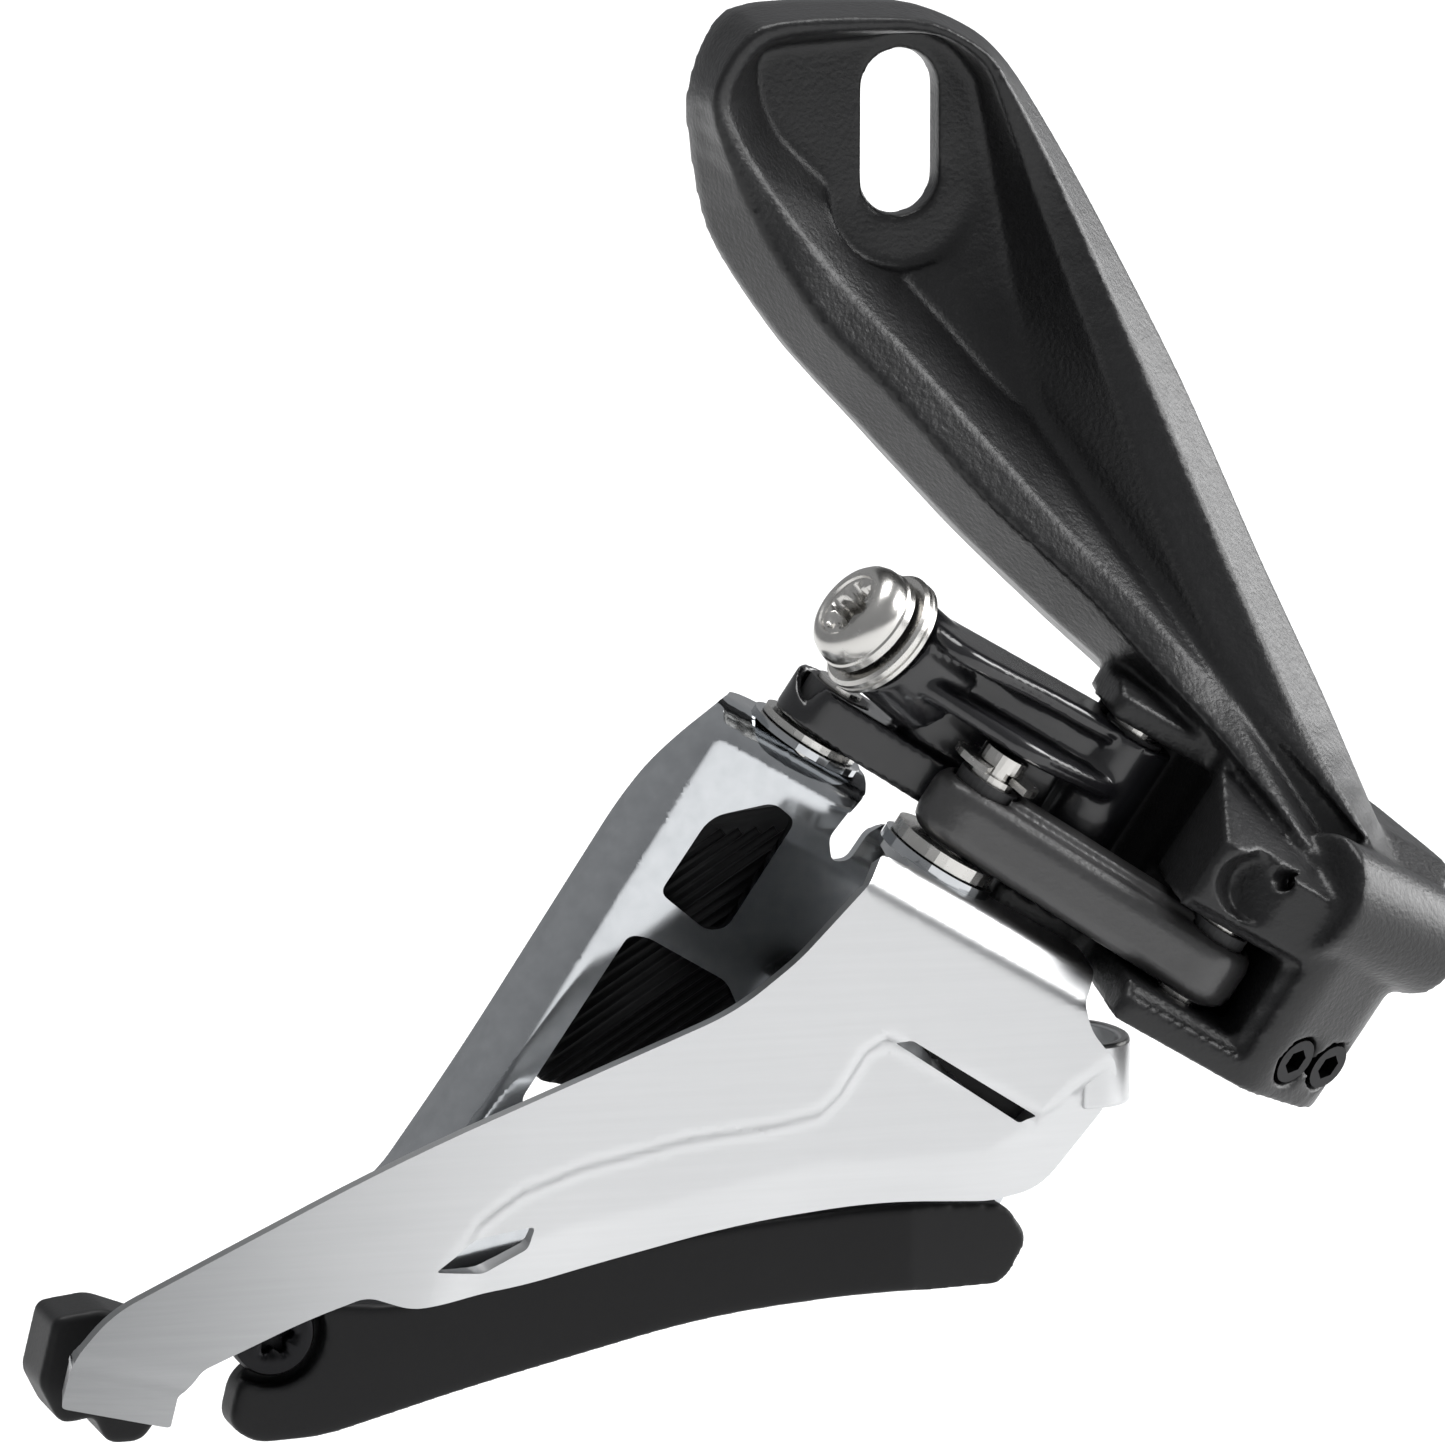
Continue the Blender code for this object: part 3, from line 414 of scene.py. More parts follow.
housing = rounded([(-6, -6.5, 1), (7.5, -6.5, 1.6), (15.5, -0.5, 2.4), (18, 9, 3), (12, 18, 2),
                   (-13, 18, 2), (-15.7, 14, 2), (-15.7, 5.6, 1), (-6, 5.6, 0.6)])
roof = [(-10.0, 9.4), (-6.5, ROOF_EAVE), (8.0, ROOF_TOP), (8.0, 20.0), (-10.0, 20.0)]
SIDEWAYS = LINKAGE @ Matrix(((0, 0, 1, 0), (1, 0, 0, 0), (0, 1, 0, 0), (0, 0, 0, 1)))
STOP = in_linkage((0.0, -5.6, 10.0), (0.9, 0.44, 0.0))
SCOOP = in_linkage((-1.8, -6.5, 8.4), (0.6, 0.75, 0))
INNER_PIN = LINKAGE @ Matrix.Translation((-11.5 * MM, 10 * MM, 0))
case = placed("case", prism(housing, EAR_LOW, ROOF_TOP, LINKAGE, bevel=0.8))
combined(case, "DIFFERENCE", prism(roof, -30, 30, SIDEWAYS))
body = bmesh.new()
body.from_mesh(case.data)
bpy.data.objects.remove(case)
combined(bracket, "UNION", body, cylinder(STOP_RADIUS, STOP_LOW, STOP_END, STOP, tip=STOP_TIP))
swing_room = [(4.4, -8), (4.4, 4.6), (-2, 5.4), (-9, 9), (-9, -8)]
arm_room = rounded([(-5.2, 4.8, 0), (-5.2, 16, 2), (-30, 20, 0), (-30, -12, 0), (-7, -12, 0),
                    (-7, 2, 0)])
window_step = [(5.5, -12), (5.5, -5.4), (-9, -5.4), (-9, -12)]
combined(bracket, "DIFFERENCE",
         prism(stadium(SEAT_HALF_WIDTH, SLOT_HALF_RUN), FLOOR_DEPTH, SEAT_TOP, SEAT_DROP @ OUTWARD),
         prism(stadium(SLOT_HALF_WIDTH, SLOT_HALF_RUN), -PAST, SEAT_TOP + 1, OUTWARD),
         prism(swing_room, EAR_TOP, WINDOW_TOP, LINKAGE),
         prism(window_step, EAR_TOP - 0.9, WINDOW_TOP + 0.9, LINKAGE),
         prism(arm_room, EAR_TOP - 0.15, ARM_ROOM_TOP, LINKAGE),
         cylinder(SPRING_ROOM, WINDOW_TOP - 1.2, SPRING_TOP, LINKAGE),
         cylinder(HOSE_BORE, HOSE_STOP, 30, STOP),
         cylinder(WIRE_BORE, -20, HOSE_STOP + 1, STOP),
         cylinder(SCOOP_RADIUS, -6, SCOOP_DEPTH, SCOOP),
         cylinder(PIN_BORE, EAR_LOW - PAST, OUTER_PIN_TOP, LINKAGE),
         cylinder(PIN_BORE, EAR_LOW - PAST, INNER_PIN_TOP, INNER_PIN))
for screw in ("low_limit_screw", "high_limit_screw"):
    combined(bracket, "DIFFERENCE",
             cylinder(SCREW_BORE, -SCREW_DEPTH, PAST, on_axis(hinges[screw + "_turn"])))
cast(bracket, 0.42, 4)
bracket.data.materials.append(satin_paint("bracket_paint", (0.006, 0.006, 0.0065),
                                          (0.013, 0.013, 0.0135), gloss=0.27, grain=0.6, shine=0.36))
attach(bracket, "bracket")
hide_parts("mount_bracket")

# ---------------------------------------------------------------- outer link
# The lower, outboard link: a machined aluminium bar with round ends, bored for two resin bushes and
# painted a fine dark grey. It swings on the outer base pin and carries the cage at its rear end.


def in_plan(point):
    """A world point, in mm, in the linkage's frame."""
    return (LINKAGE.inverted() @ Vector(point)) / MM


def middle(node):
    low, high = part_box(node)
    return in_plan((low + high) / 2)


def bar(start, end, start_radius, end_radius, steps=16):
    """A bar's outline: two round ends joined by straight sides."""
    run = (end[0] - start[0], end[1] - start[1])
    aim = atan2(run[1], run[0])
    flare = atan2(start_radius - end_radius, hypot(*run))
    near, far = aim - pi / 2 + flare, aim + pi / 2 - flare
    points = []
    for centre, radius, first, last in ((end, end_radius, near, far),
                                        (start, start_radius, far, near + 2 * pi)):
        for step in range(steps + 1):
            turn = first + (last - first) * step / steps
            points.append((centre[0] + radius * cos(turn), centre[1] + radius * sin(turn)))
    return points


def at(x, y):
    return LINKAGE @ Matrix.Translation((x * MM, y * MM, 0))


OUTER_BASE = (0.0, 0.0)
INNER_BASE = tuple(in_plan(hinges["inner_link_swing"]["pos_m"]))[:2]
OUTER_CAGE = tuple(in_plan(hinges["cage_pivot"]["pos_m"]))[:2]
INNER_CAGE = tuple(middle("inner_cage_pin"))[:2]
LINK_END, LINK_LOW, LINK_HIGH, LINK_STEP = 3.9, -2.8, 3.4, 2.7
LAND_END, LAND_LOW = LINK_END - 1.9, 1.0               # a raised land runs along the top of the bar
BUSH_HOLE = 2.9
NEIGHBOUR_END, NEIGHBOUR_ROOM = (-15.4, 11.0), 4.1     # the notch that clears the inner link
CUT_LOW, CUT_HIGH = LINK_LOW - 2, LINK_HIGH + 2

link = placed("outer_link_bar", prism(bar(OUTER_BASE, OUTER_CAGE, LINK_END, LINK_END),
                                      LINK_LOW, LINK_STEP, LINKAGE, bevel=1.5))
combined(link, "UNION", prism(bar(OUTER_BASE, OUTER_CAGE, LAND_END, LAND_END),
                              LAND_LOW, LINK_HIGH, LINKAGE, bevel=0.4))
combined(link, "DIFFERENCE",
         cylinder(BUSH_HOLE, CUT_LOW, CUT_HIGH, at(*OUTER_BASE)),
         cylinder(BUSH_HOLE, CUT_LOW, CUT_HIGH, at(*OUTER_CAGE)),
         prism(bar(INNER_BASE, NEIGHBOUR_END, NEIGHBOUR_ROOM, NEIGHBOUR_ROOM), CUT_LOW, CUT_HIGH, LINKAGE))
cast(link, 0.22, 2)
link.data.materials.append(satin_paint("link_paint", (0.020, 0.020, 0.021), (0.040, 0.039, 0.039),
                                       gloss=0.24, grain=0.3, shine=0.8))
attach(link, "outer_link")
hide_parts("outer_link")

# ---------------------------------------------------------------- inner link and cable arm
# The upper, inboard link with the cable arm standing on it, one casting in gloss black. The arm is
# two ridges with a groove for the cable between them, and its end is a barrel under the clamp bolt.


def gloss_paint(name, colour, gloss):
    """Smooth thick paint with a faint orange peel."""
    made, shader, tree, place = finish(name, {"Specular IOR Level": 0.5, "Coat Roughness": 0.08})
    peel = tree.noise(place, 300, 2)
    dust = tree.noise(place, 1500, 3)
    tree.blend(peel, colour, tuple(level * 1.7 for level in colour)).feed(shader, "Base Color")
    (gloss + dust * 0.08).feed(shader, "Roughness")
    (0.25 + peel * 0.1).feed(shader, "Coat Weight")
    tree.bump(peel + dust * 0.1, 0.12, 0.04).feed(shader, "Normal")
    return made


BOSS, ARM_LOW, ARM_HIGH, ARM_TIP = 3.7, 6.3, 12.0, (-30.0, 10.6)
INNER_LINK_LOW, INNER_LINK_HIGH = -1.9, 2.0
ARM_RADIUS, ARM_TIP_RADIUS, RIDGE_EDGE = 4.4, 4.2, 0.7
GROOVE_LOW, GROOVE_HIGH, GROOVE_DEPTH, OVERLAP = 8.0, 10.4, 2.0, 0.8
WEB_START, WEB_END = (-14, 11.6), (-26.0, 13.2)        # the web that joins the arm to its link
BARREL_RADIUS, BARREL_BORE = 4.6, 2.8
lower_ridge = [(-10.5, 6.2, 3), (-15.4, 4.4, 3), (-20.4, 2.8, 3.4), (-25.0, 4.6, 3), (-31.0, 6.6, 2),
               (-32.5, 12.0, 3), (-24.0, 14.6, 4), (-11.0, 14.2, 4)]
upper_ridge = [(-12.0, 6.6, 3), (-20.0, 6.2, 6), (-26.0, 4.4, 2), (-29.8, 4.0, 2.4), (-32.6, 8.0, 2),
               (-32.0, 13.0, 3), (-12.0, 14.0, 4)]
BOLT = on_axis(hinges["clamp_bolt_turn"])

arm = placed("cable_arm", prism(bar(INNER_BASE, INNER_CAGE, BOSS, BOSS), INNER_LINK_LOW, INNER_LINK_HIGH,
                                LINKAGE))
combined(arm, "UNION",
         cylinder(BOSS, LINK_LOW, ARM_HIGH - 0.2, at(*INNER_BASE)),
         prism(rounded(lower_ridge, 8), ARM_LOW, GROOVE_LOW, LINKAGE, bevel=RIDGE_EDGE),
         prism(bar(INNER_BASE, ARM_TIP, ARM_RADIUS - GROOVE_DEPTH, ARM_TIP_RADIUS - GROOVE_DEPTH),
               GROOVE_LOW - OVERLAP, GROOVE_HIGH + OVERLAP, LINKAGE),
         prism(rounded(upper_ridge, 8), GROOVE_HIGH, ARM_HIGH, LINKAGE, bevel=RIDGE_EDGE),
         prism(bar(WEB_START, WEB_END, 2.6, 2.0), 1.0, ARM_LOW + 1.5, LINKAGE),
         cylinder(BARREL_RADIUS, -6.0, -0.3, BOLT, sides=64))
combined(arm, "DIFFERENCE",
         cylinder(LINK_END + 0.7, CUT_LOW, ARM_LOW - 0.1, at(*OUTER_CAGE)),
         cylinder(BUSH_HOLE, CUT_LOW, 20, at(*INNER_BASE)),
         cylinder(BUSH_HOLE, CUT_LOW, 3.0, at(*INNER_CAGE)),
         cylinder(BARREL_BORE, -7.0, 10.0, BOLT),
         cylinder(9.0, 0.0, 6.0, BOLT))
cast(arm, 0.26, 10)
arm.data.materials.append(gloss_paint("gloss_black", (0.006, 0.006, 0.007), gloss=0.2))
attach(arm, "inner_link")
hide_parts("inner_link")

# ---------------------------------------------------------------- clamp bolt and washer
# A turned steel bolt with a domed, six-lobed head. Under it is a plain steel washer with a grooved
# edge, which presses the cable into the arm.


def turned(profile, place, sides=72):
    """A closed turned mesh: an outline of (radius, height) in mm spun about the frame's Z."""
    bm = bmesh.new()
    verts = [bm.verts.new((radius * MM, 0, height * MM)) for radius, height in profile]
    edges = [bm.edges.new(pair) for pair in zip(verts, verts[1:])]
    if profile[0][0] > 0:
        edges.append(bm.edges.new((verts[-1], verts[0])))
    bmesh.ops.spin(bm, geom=verts + edges, cent=(0, 0, 0), axis=(0, 0, 1), angle=2 * pi, steps=sides,
                   use_merge=True)
    bmesh.ops.remove_doubles(bm, verts=bm.verts, dist=MERGE * MM)
    bmesh.ops.recalc_face_normals(bm, faces=bm.faces)
    bm.transform(place)
    return bm


def lobed(radius, depth, lobes=6, steps=48):
    """The outline of a lobed driver recess."""
    points = []
    for step in range(steps):
        turn = 2 * pi * step / steps
        reach = radius + depth * cos(lobes * turn)
        points.append((reach * cos(turn), reach * sin(turn)))
    return points


def bright_metal(name, dark, light, gloss, scratch):
    """Machined metal: fine tool marks and a little staining."""
    made, shader, tree, place = finish(name, {"Metallic": 1.0})
    marks = tree.noise(place, 900, 4, 0.65)
    stain = tree.noise(place, 130, 2)
    tree.blend(stain * 0.6 + marks * 0.4, dark, light).feed(shader, "Base Color")
    (gloss + marks * 0.14 + stain * 0.06).feed(shader, "Roughness")
    tree.bump(marks, scratch, 0.02).feed(shader, "Normal")
    return made


# Half sections, as (radius, height) up the bolt.
HEAD = [(0, -6.0), (2.2, -6.0), (2.5, -5.7), (2.5, 2.1), (4.3, 2.1), (4.6, 2.35), (4.6, 3.0),
        (4.45, 3.15), (4.45, 3.3), (4.5, 3.45), (4.4, 4.1), (4.15, 4.7), (3.7, 5.15), (3.25, 5.35),
        (3.0, 5.4), (2.8, 5.3), (2.7, 5.1), (0, 5.1)]
WASHER = [(2.8, 0.3), (5.1, 0.3), (5.4, 0.55), (5.4, 0.9), (5.25, 1.0), (5.25, 1.1), (5.4, 1.2),
          (5.4, 1.55), (5.1, 1.8), (2.8, 1.8)]
RECESS_RADIUS, LOBE_DEPTH, RECESS_FLOOR = 1.95, 0.36, 2.7
FINE = 30                                              # small turned steps stay sharp past 30 degrees
steel = bright_metal("polished_steel", (0.42, 0.41, 0.39), (0.66, 0.65, 0.63), gloss=0.16, scratch=0.12)
bolt = placed("clamp_bolt_head", turned(HEAD, BOLT), FINE)
combined(bolt, "DIFFERENCE", prism(lobed(RECESS_RADIUS, LOBE_DEPTH), RECESS_FLOOR, 7.0, BOLT))
bolt.data.materials.append(steel)
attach(bolt, "clamp_bolt")
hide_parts("clamp_bolt")

washer = placed("cable_washer", turned(WASHER, BOLT), FINE)
washer.data.materials.append(steel)
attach(washer, "inner_link")
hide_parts("clamp_washer")

# ---------------------------------------------------------------- outer cage plate
# The outboard plate that pushes the chain: pressed sheet steel in bright satin silver. It is folded
# inwards over the outer link's pin and along the tail, and a shallow pressed step stiffens it.
SHEET = 1.4
OUTER_Y = -27.0
SPACING = 0.5                                          # of the sheets' grid, which lets them bend
SHEET_EDGE = 0.12                                      # the plates' edges are rounded by this much
UP_FOLD = (forward.x, forward.z)                       # the top fold runs along the linkage's forward way
OVER_FOLD = (-forward.z, forward.x)
FOLD_FROM = (linkage_at.x / MM, linkage_at.z / MM)


def cut_sheet(loops, spacing):
    """A flat sheet drawn in (x, z) mm: the first outline holds the others, which are its holes."""
    bm = bmesh.new()
    for loop in loops:
        verts = [bm.verts.new((x * MM, 0, z * MM)) for x, z in loop]
        for k in range(len(verts)):
            bm.edges.new((verts[k - 1], verts[k]))
    bmesh.ops.triangle_fill(bm, use_beauty=True, use_dissolve=False, edges=bm.edges, normal=(0, -1, 0))
    for axis in (0, 2):
        reached = [vert.co[axis] / MM for vert in bm.verts]
        across = Vector((1, 0, 0)) if axis == 0 else Vector((0, 0, 1))
        steps = int((max(reached) - min(reached)) / spacing)
        for step in range(1, steps + 1):
            level = min(reached) + step * spacing
            bmesh.ops.bisect_plane(bm, geom=bm.verts[:] + bm.edges[:] + bm.faces[:], dist=0.0005 * MM,
                                   plane_co=across * level * MM, plane_no=across)
    bm.normal_update()
    for face in bm.faces:
        if face.normal.y > 0:
            face.normal_flip()
    return bm


def above(x, z, line):
    """How far a point lies above a line drawn from left to right, in mm; and below 0 if under it."""
    nearest, side = float("inf"), 1
    for (ax, az), (bx, bz) in zip(line, line[1:]):
        dx, dz = bx - ax, bz - az
        t = max(0, min(1, ((x - ax) * dx + (z - az) * dz) / (dx * dx + dz * dz)))
        off = hypot(x - ax - t * dx, z - az - t * dz)
        if off < nearest - 1e-6:
            nearest = off
            side = 1 if dx * (z - az) - dz * (x - ax) > 0 else -1
    return nearest * side


def ease(value):
    """A smooth rise from 0 to 1 as the value goes from 0 to 1."""
    value = max(0, min(1, value))
    return value * value * (3 - 2 * value)


BEND_STEP = 0.1


def bend_table(turns, length):
    """Where a sheet goes past the start of its bends: (along, inwards) in mm at each step."""
    along, inwards, table = 0.0, 0.0, []
    for k in range(int(length / BEND_STEP) + 2):
        table.append((along, inwards))
        angle = sum(turn * ease((k * BEND_STEP - start) / width) for start, width, turn in turns)
        along += BEND_STEP * cos(angle)
        inwards += BEND_STEP * sin(angle)
    return table


def bent(distance, table):
    """The (along, inwards) place of a point that lies a distance past the start of a bend."""
    place = distance / BEND_STEP
    k = min(int(place), len(table) - 2)
    part = place - k
    return tuple(low + (high - low) * part for low, high in zip(table[k], table[k + 1]))


def flap(along, over):
    """A point of the flattened top flap, in (x, z): along the fold and over it."""
    return (FOLD_FROM[0] + along * UP_FOLD[0] + over * OVER_FOLD[0],
            FOLD_FROM[1] + along * UP_FOLD[1] + over * OVER_FOLD[1])


def sheet_piece(name, bm, shape, thickness):
    """The flat sheet bent into shape, given its thickness and slightly rounded edges."""
    for vert in bm.verts:
        vert.co = Vector(shape(vert.co.x / MM, vert.co.z / MM)) * MM
    bm.normal_update()
    bmesh.ops.solidify(bm, geom=bm.faces[:], thickness=thickness * MM)
    piece = placed(name, bm, 50)
    edge = piece.modifiers.new("edge", "BEVEL")
    edge.width = SHEET_EDGE * MM
    edge.segments = 2
    edge.limit_method = "ANGLE"
    edge.angle_limit = radians(60)
    edge.use_clamp_overlap = True
    applied(piece)
    return piece


TOP_BEND = bend_table([(0.0, 1.4, radians(32)), (3.0, 2.0, radians(48))], 16)
TAIL_BEND = bend_table([(0.0, 3.2, radians(46))], 10)
TOP_START = -8.6
TAIL_LINE = [(-90.0, -86.6), (-74.4, -90.4), (-64.6, -92.8), (-50.0, -96.4)]
STEP_LINE = [(-60.0, -94.0), (-43.7, -85.3), (-41.6, -82.8), (-38.2, -80.5), (-33.2, -78.8),
             (-24.8, -77.1), (-17.2, -76.3), (-13.6, -75.6), (-11.9, -74.0), (-9.8, -70.8), (-8.0, -69.8),
             (4.7, -77.0), (12.0, -72.0)]
LOWER_LINE = [(-50.0, -88.0), (-37.0, -84.3), (-33.2, -83.4), (-26.5, -82.2), (-18.1, -80.5),
              (-12.6, -79.7), (-2.8, -79.7), (0.6, -79.4), (4.6, -77.2), (8.0, -75.2), (14.0, -71.0)]
STEP_DEPTH, STEP_WIDTH, LOWER_SLOPE, LOWER_EASE = 1.0, 1.4, 0.32, 1.0
STEP_FADE, LOWER_FADE = (-46.0, -40.0), (-48.0, -40.0)   # both die out towards the tail
TOP_FOLD_FROM, TAIL_FOLD_TO = -20, -60                 # the folds' ends along X

outline = [(*flap(-25.0, 5.6), 0.8), (*flap(-16.4, 5.6), 1.0), (*flap(-16.0, 1.4), 0.8),
           (*flap(-7.3, 1.4), 0.8), (*flap(-7.2, -7.6), 0.5), (8.9, -70.0, 1.0), (11.6, -73.4, 1.0),
           (10.6, -76.6, 1.0), (5.4, -83.2, 2.0), (1.0, -83.9, 1.0), (-8, -83.3, 6), (-20, -84.4, 10),
           (-32, -87.0, 6), (-38, -88.4, 3), (-47.4, -89.3, 1.2), (-51, -88.0, 1.0), (-56, -89.6, 4),
           (-64.4, -93.1, 0.6), (-66.2, -95.6, 0.5), (-66.4, -100.4, 0.5), (-75.2, -98.2, 0.5),
           (-74.9, -91.8, 1.5), (-71.6, -88.1, 3), (-48, -77.1, 8), (-27.4, -69.3, 8), (-20.6, -66.7, 3),
           (-15.4, -62.8, 1.5), (*flap(-28.2, -7.4), 0.6), (*flap(-28.0, -4.6), 0.6),
           (*flap(-25.2, -4.2), 0.6)]
hole = [(-45.4, -86.4, 0.4), (-42.2, -84.2, 0.6), (-37.0, -83.4, 0.4), (-37.6, -85.2, 0.4),
        (-41.2, -87.0, 0.5)]
slit = [(-7.4, -70.1, 0.3), (-6.1, -69.9, 0.3), (4.5, -76.8, 0.3), (3.2, -77.4, 0.3)]


def over_fold(x, z):
    """How far a point of a flat plate lies over the top fold's line, in mm."""
    return (x - FOLD_FROM[0]) * OVER_FOLD[0] + (z - FOLD_FROM[1]) * OVER_FOLD[1]


def outer_shape(x, z):
    """The pressed shape of the outer plate, from a point of the flat sheet."""
    step = STEP_DEPTH * ease(-above(x, z, STEP_LINE) / STEP_WIDTH + 0.5)
    step *= ease((x - STEP_FADE[0]) / (STEP_FADE[1] - STEP_FADE[0]))
    under = max(0, -above(x, z, LOWER_LINE))
    under *= ease((x - LOWER_FADE[0]) / (LOWER_FADE[1] - LOWER_FADE[0]))
    y = OUTER_Y + step + LOWER_SLOPE * under * under / (under + LOWER_EASE)
    along = (x - FOLD_FROM[0]) * UP_FOLD[0] + (z - FOLD_FROM[1]) * UP_FOLD[1]
    over = over_fold(x, z)
    if over > TOP_START and x > TOP_FOLD_FROM:
        onward, inwards = bent(over - TOP_START, TOP_BEND)
        x, z = flap(along, TOP_START + onward)
        y += inwards
    past = -above(x, z, TAIL_LINE)
    if past > 0 and x < TAIL_FOLD_TO:
        onward, inwards = bent(past, TAIL_BEND)
        lean = atan2(TAIL_LINE[2][1] - TAIL_LINE[1][1], TAIL_LINE[2][0] - TAIL_LINE[1][0])
        x += sin(lean) * (onward - past)
        z -= cos(lean) * (onward - past)
        y += inwards
    return x, y, z


outer_blank = cut_sheet([rounded(outline, 6), rounded(hole, 4), rounded(slit, 3)], SPACING)
outer_plate = sheet_piece("outer_plate", outer_blank, outer_shape, SHEET)


TAIL_SHADE_FULL_UNTIL, TAIL_SHADE_GONE_FROM = -82, -34                     # along X: the silver sheet's painted shade is full behind the first and gone past the second


def silver_sheet(name, gloss):
    """Satin plating brushed very finely along the plate: almost white, with painted shade that darkens it
    towards the tail.
    """
    made, shader, tree, place = finish(name, {"Metallic": 1.0})
    along = tree.node("ShaderNodeMapping", {}, {"Vector": place, "Rotation": (0, radians(-24), 0),
                                                 "Scale": (60, 900, 1800)})
    brush = tree.noise(along, 1.0, 3, 0.6)
    cloud = tree.noise(place, 70, 2)
    lengthwise = tree.node("ShaderNodeSeparateXYZ", {}, {"Vector": place})
    # painted shade: a ramp along X that darkens the plating's colour towards the tail
    tail_shade_ramp = tree.node("ShaderNodeMapRange", {"interpolation_type": "SMOOTHSTEP"},
                           {"Value": lengthwise, "From Min": TAIL_SHADE_FULL_UNTIL * MM, "From Max": TAIL_SHADE_GONE_FROM * MM})
    # the colour share mixes that painted shade with the real mottle and brushing of the plating
    painted_shade_and_grain = tail_shade_ramp * 0.72 + cloud * 0.14 + brush * 0.14
    tree.blend(painted_shade_and_grain, (0.15, 0.154, 0.158), (0.60, 0.605, 0.61)).feed(shader, "Base Color")
    (gloss + brush * 0.08 + cloud * 0.05).feed(shader, "Roughness")
    tree.bump(brush, 0.05, 0.02).feed(shader, "Normal")
    return made


silver = silver_sheet("silver_plate", gloss=0.26)
outer_plate.data.materials.append(silver)
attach(outer_plate, "cage")
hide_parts("outer_cage_plate")

# ---------------------------------------------------------------- front bridge
# The strip of the outer plate that curls round the front of the cage to the inner plate, where a
# rivet holds it. It is the same pressed and plated sheet, with its edges rounded.
BRIDGE = [(8.6, -26.3), (11.2, -25.9), (13.0, -24.2), (13.9, -20.8), (13.3, -17.2), (11.4, -15.0),
          (7.2, -14.1)]
BRIDGE_LOW, BRIDGE_HIGH, BRIDGE_SHEET, BRIDGE_EDGE = -76.6, -71.4, 1.0, 0.3


def open_curve(points, per=6):
    """A smooth open line through points."""
    ends = [2 * Vector(points[0]) - Vector(points[1]), *map(Vector, points),
            2 * Vector(points[-1]) - Vector(points[-2])]
    found = []
    for a, b, c, d in zip(ends, ends[1:], ends[2:], ends[3:]):
        for step in range(per):
            t = step / per
            found.append(0.5 * (2 * b + (c - a) * t + (2 * a - 5 * b + 4 * c - d) * t * t
                                + (3 * b - a - 3 * c + d) * t ** 3))
    return found + [Vector(points[-1])]


def strip(path, low, high, thickness):
    """A curved strip: a path in (x, y) mm, extruded from one level to another and given its thickness."""
    bm = bmesh.new()
    verts = [bm.verts.new((x * MM, y * MM, low * MM)) for x, y in path]
    edges = [bm.edges.new(pair) for pair in zip(verts, verts[1:])]
    grown = bmesh.ops.extrude_edge_only(bm, edges=edges)["geom"]
    raised = [part for part in grown if isinstance(part, bmesh.types.BMVert)]
    bmesh.ops.translate(bm, verts=raised, vec=(0, 0, (high - low) * MM))
    bmesh.ops.recalc_face_normals(bm, faces=bm.faces)
    bmesh.ops.solidify(bm, geom=bm.faces[:], thickness=thickness * MM)
    return bm


bridge = placed("front_bridge", strip(open_curve(BRIDGE), BRIDGE_LOW, BRIDGE_HIGH, BRIDGE_SHEET), 50)
bridge_edge = bridge.modifiers.new("edge", "BEVEL")
bridge_edge.width = BRIDGE_EDGE * MM
bridge_edge.segments = 3
bridge_edge.limit_method = "ANGLE"
bridge_edge.angle_limit = radians(50)
bridge.data.materials.append(silver)
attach(bridge, "cage")

# ---------------------------------------------------------------- inner cage plate
# The inboard plate, pressed deeper than the outer one and chromed: its rear and top edges roll over
# into a hood, and the hood's flat top carries the inner pin. Two windows lighten it.
INNER_Y = -12.0
INNER_SHEET = 1.2
HOOD_RADIUS, HOOD_TURN = 3.6, radians(80)
REAR_CREASE = [(-35.2, -74.6), (-21.4, -53.4)]
TOP_CREASE = -3.9                                      # over the top fold's line
TAIL_FLAT, TAIL_RISE = -91.0, 12                       # the rear roll fades in over this rise above the tail
CORNER_PULL = 0.92                                     # how far the corner follows the two rolls together


def hood(x, z):
    """How far a point of the flat sheet lies past the hood's creases, and the way outwards."""
    (ax, az), (bx, bz) = REAR_CREASE
    run = hypot(bx - ax, bz - az)
    rear = (-(bz - az) / run, (bx - ax) / run)
    past_rear = max(0.0, (x - bx) * rear[0] + (z - bz) * rear[1]) * ease((z - TAIL_FLAT) / TAIL_RISE)
    past_top = max(0.0, over_fold(x, z) - TOP_CREASE)
    mixed = hypot(past_rear, past_top)
    if mixed == 0:
        return 0.0, (0.0, 0.0)
    way = (rear[0] * past_rear + OVER_FOLD[0] * past_top, rear[1] * past_rear + OVER_FOLD[1] * past_top)
    size = hypot(*way)
    return max(past_rear, past_top, CORNER_PULL * mixed), (way[0] / size, way[1] / size)


def inner_shape(x, z):
    """The pressed shape of the inner plate, from a point of the flat sheet."""
    past, way = hood(x, z)
    if past == 0:
        return x, INNER_Y, z
    turn = min(past / HOOD_RADIUS, HOOD_TURN)
    straight = max(0.0, past - HOOD_RADIUS * HOOD_TURN)
    onward = HOOD_RADIUS * sin(turn) + straight * cos(HOOD_TURN) - past
    inwards = HOOD_RADIUS * (1 - cos(turn)) + straight * sin(HOOD_TURN)
    return x + way[0] * onward, INNER_Y + inwards, z + way[1] * onward


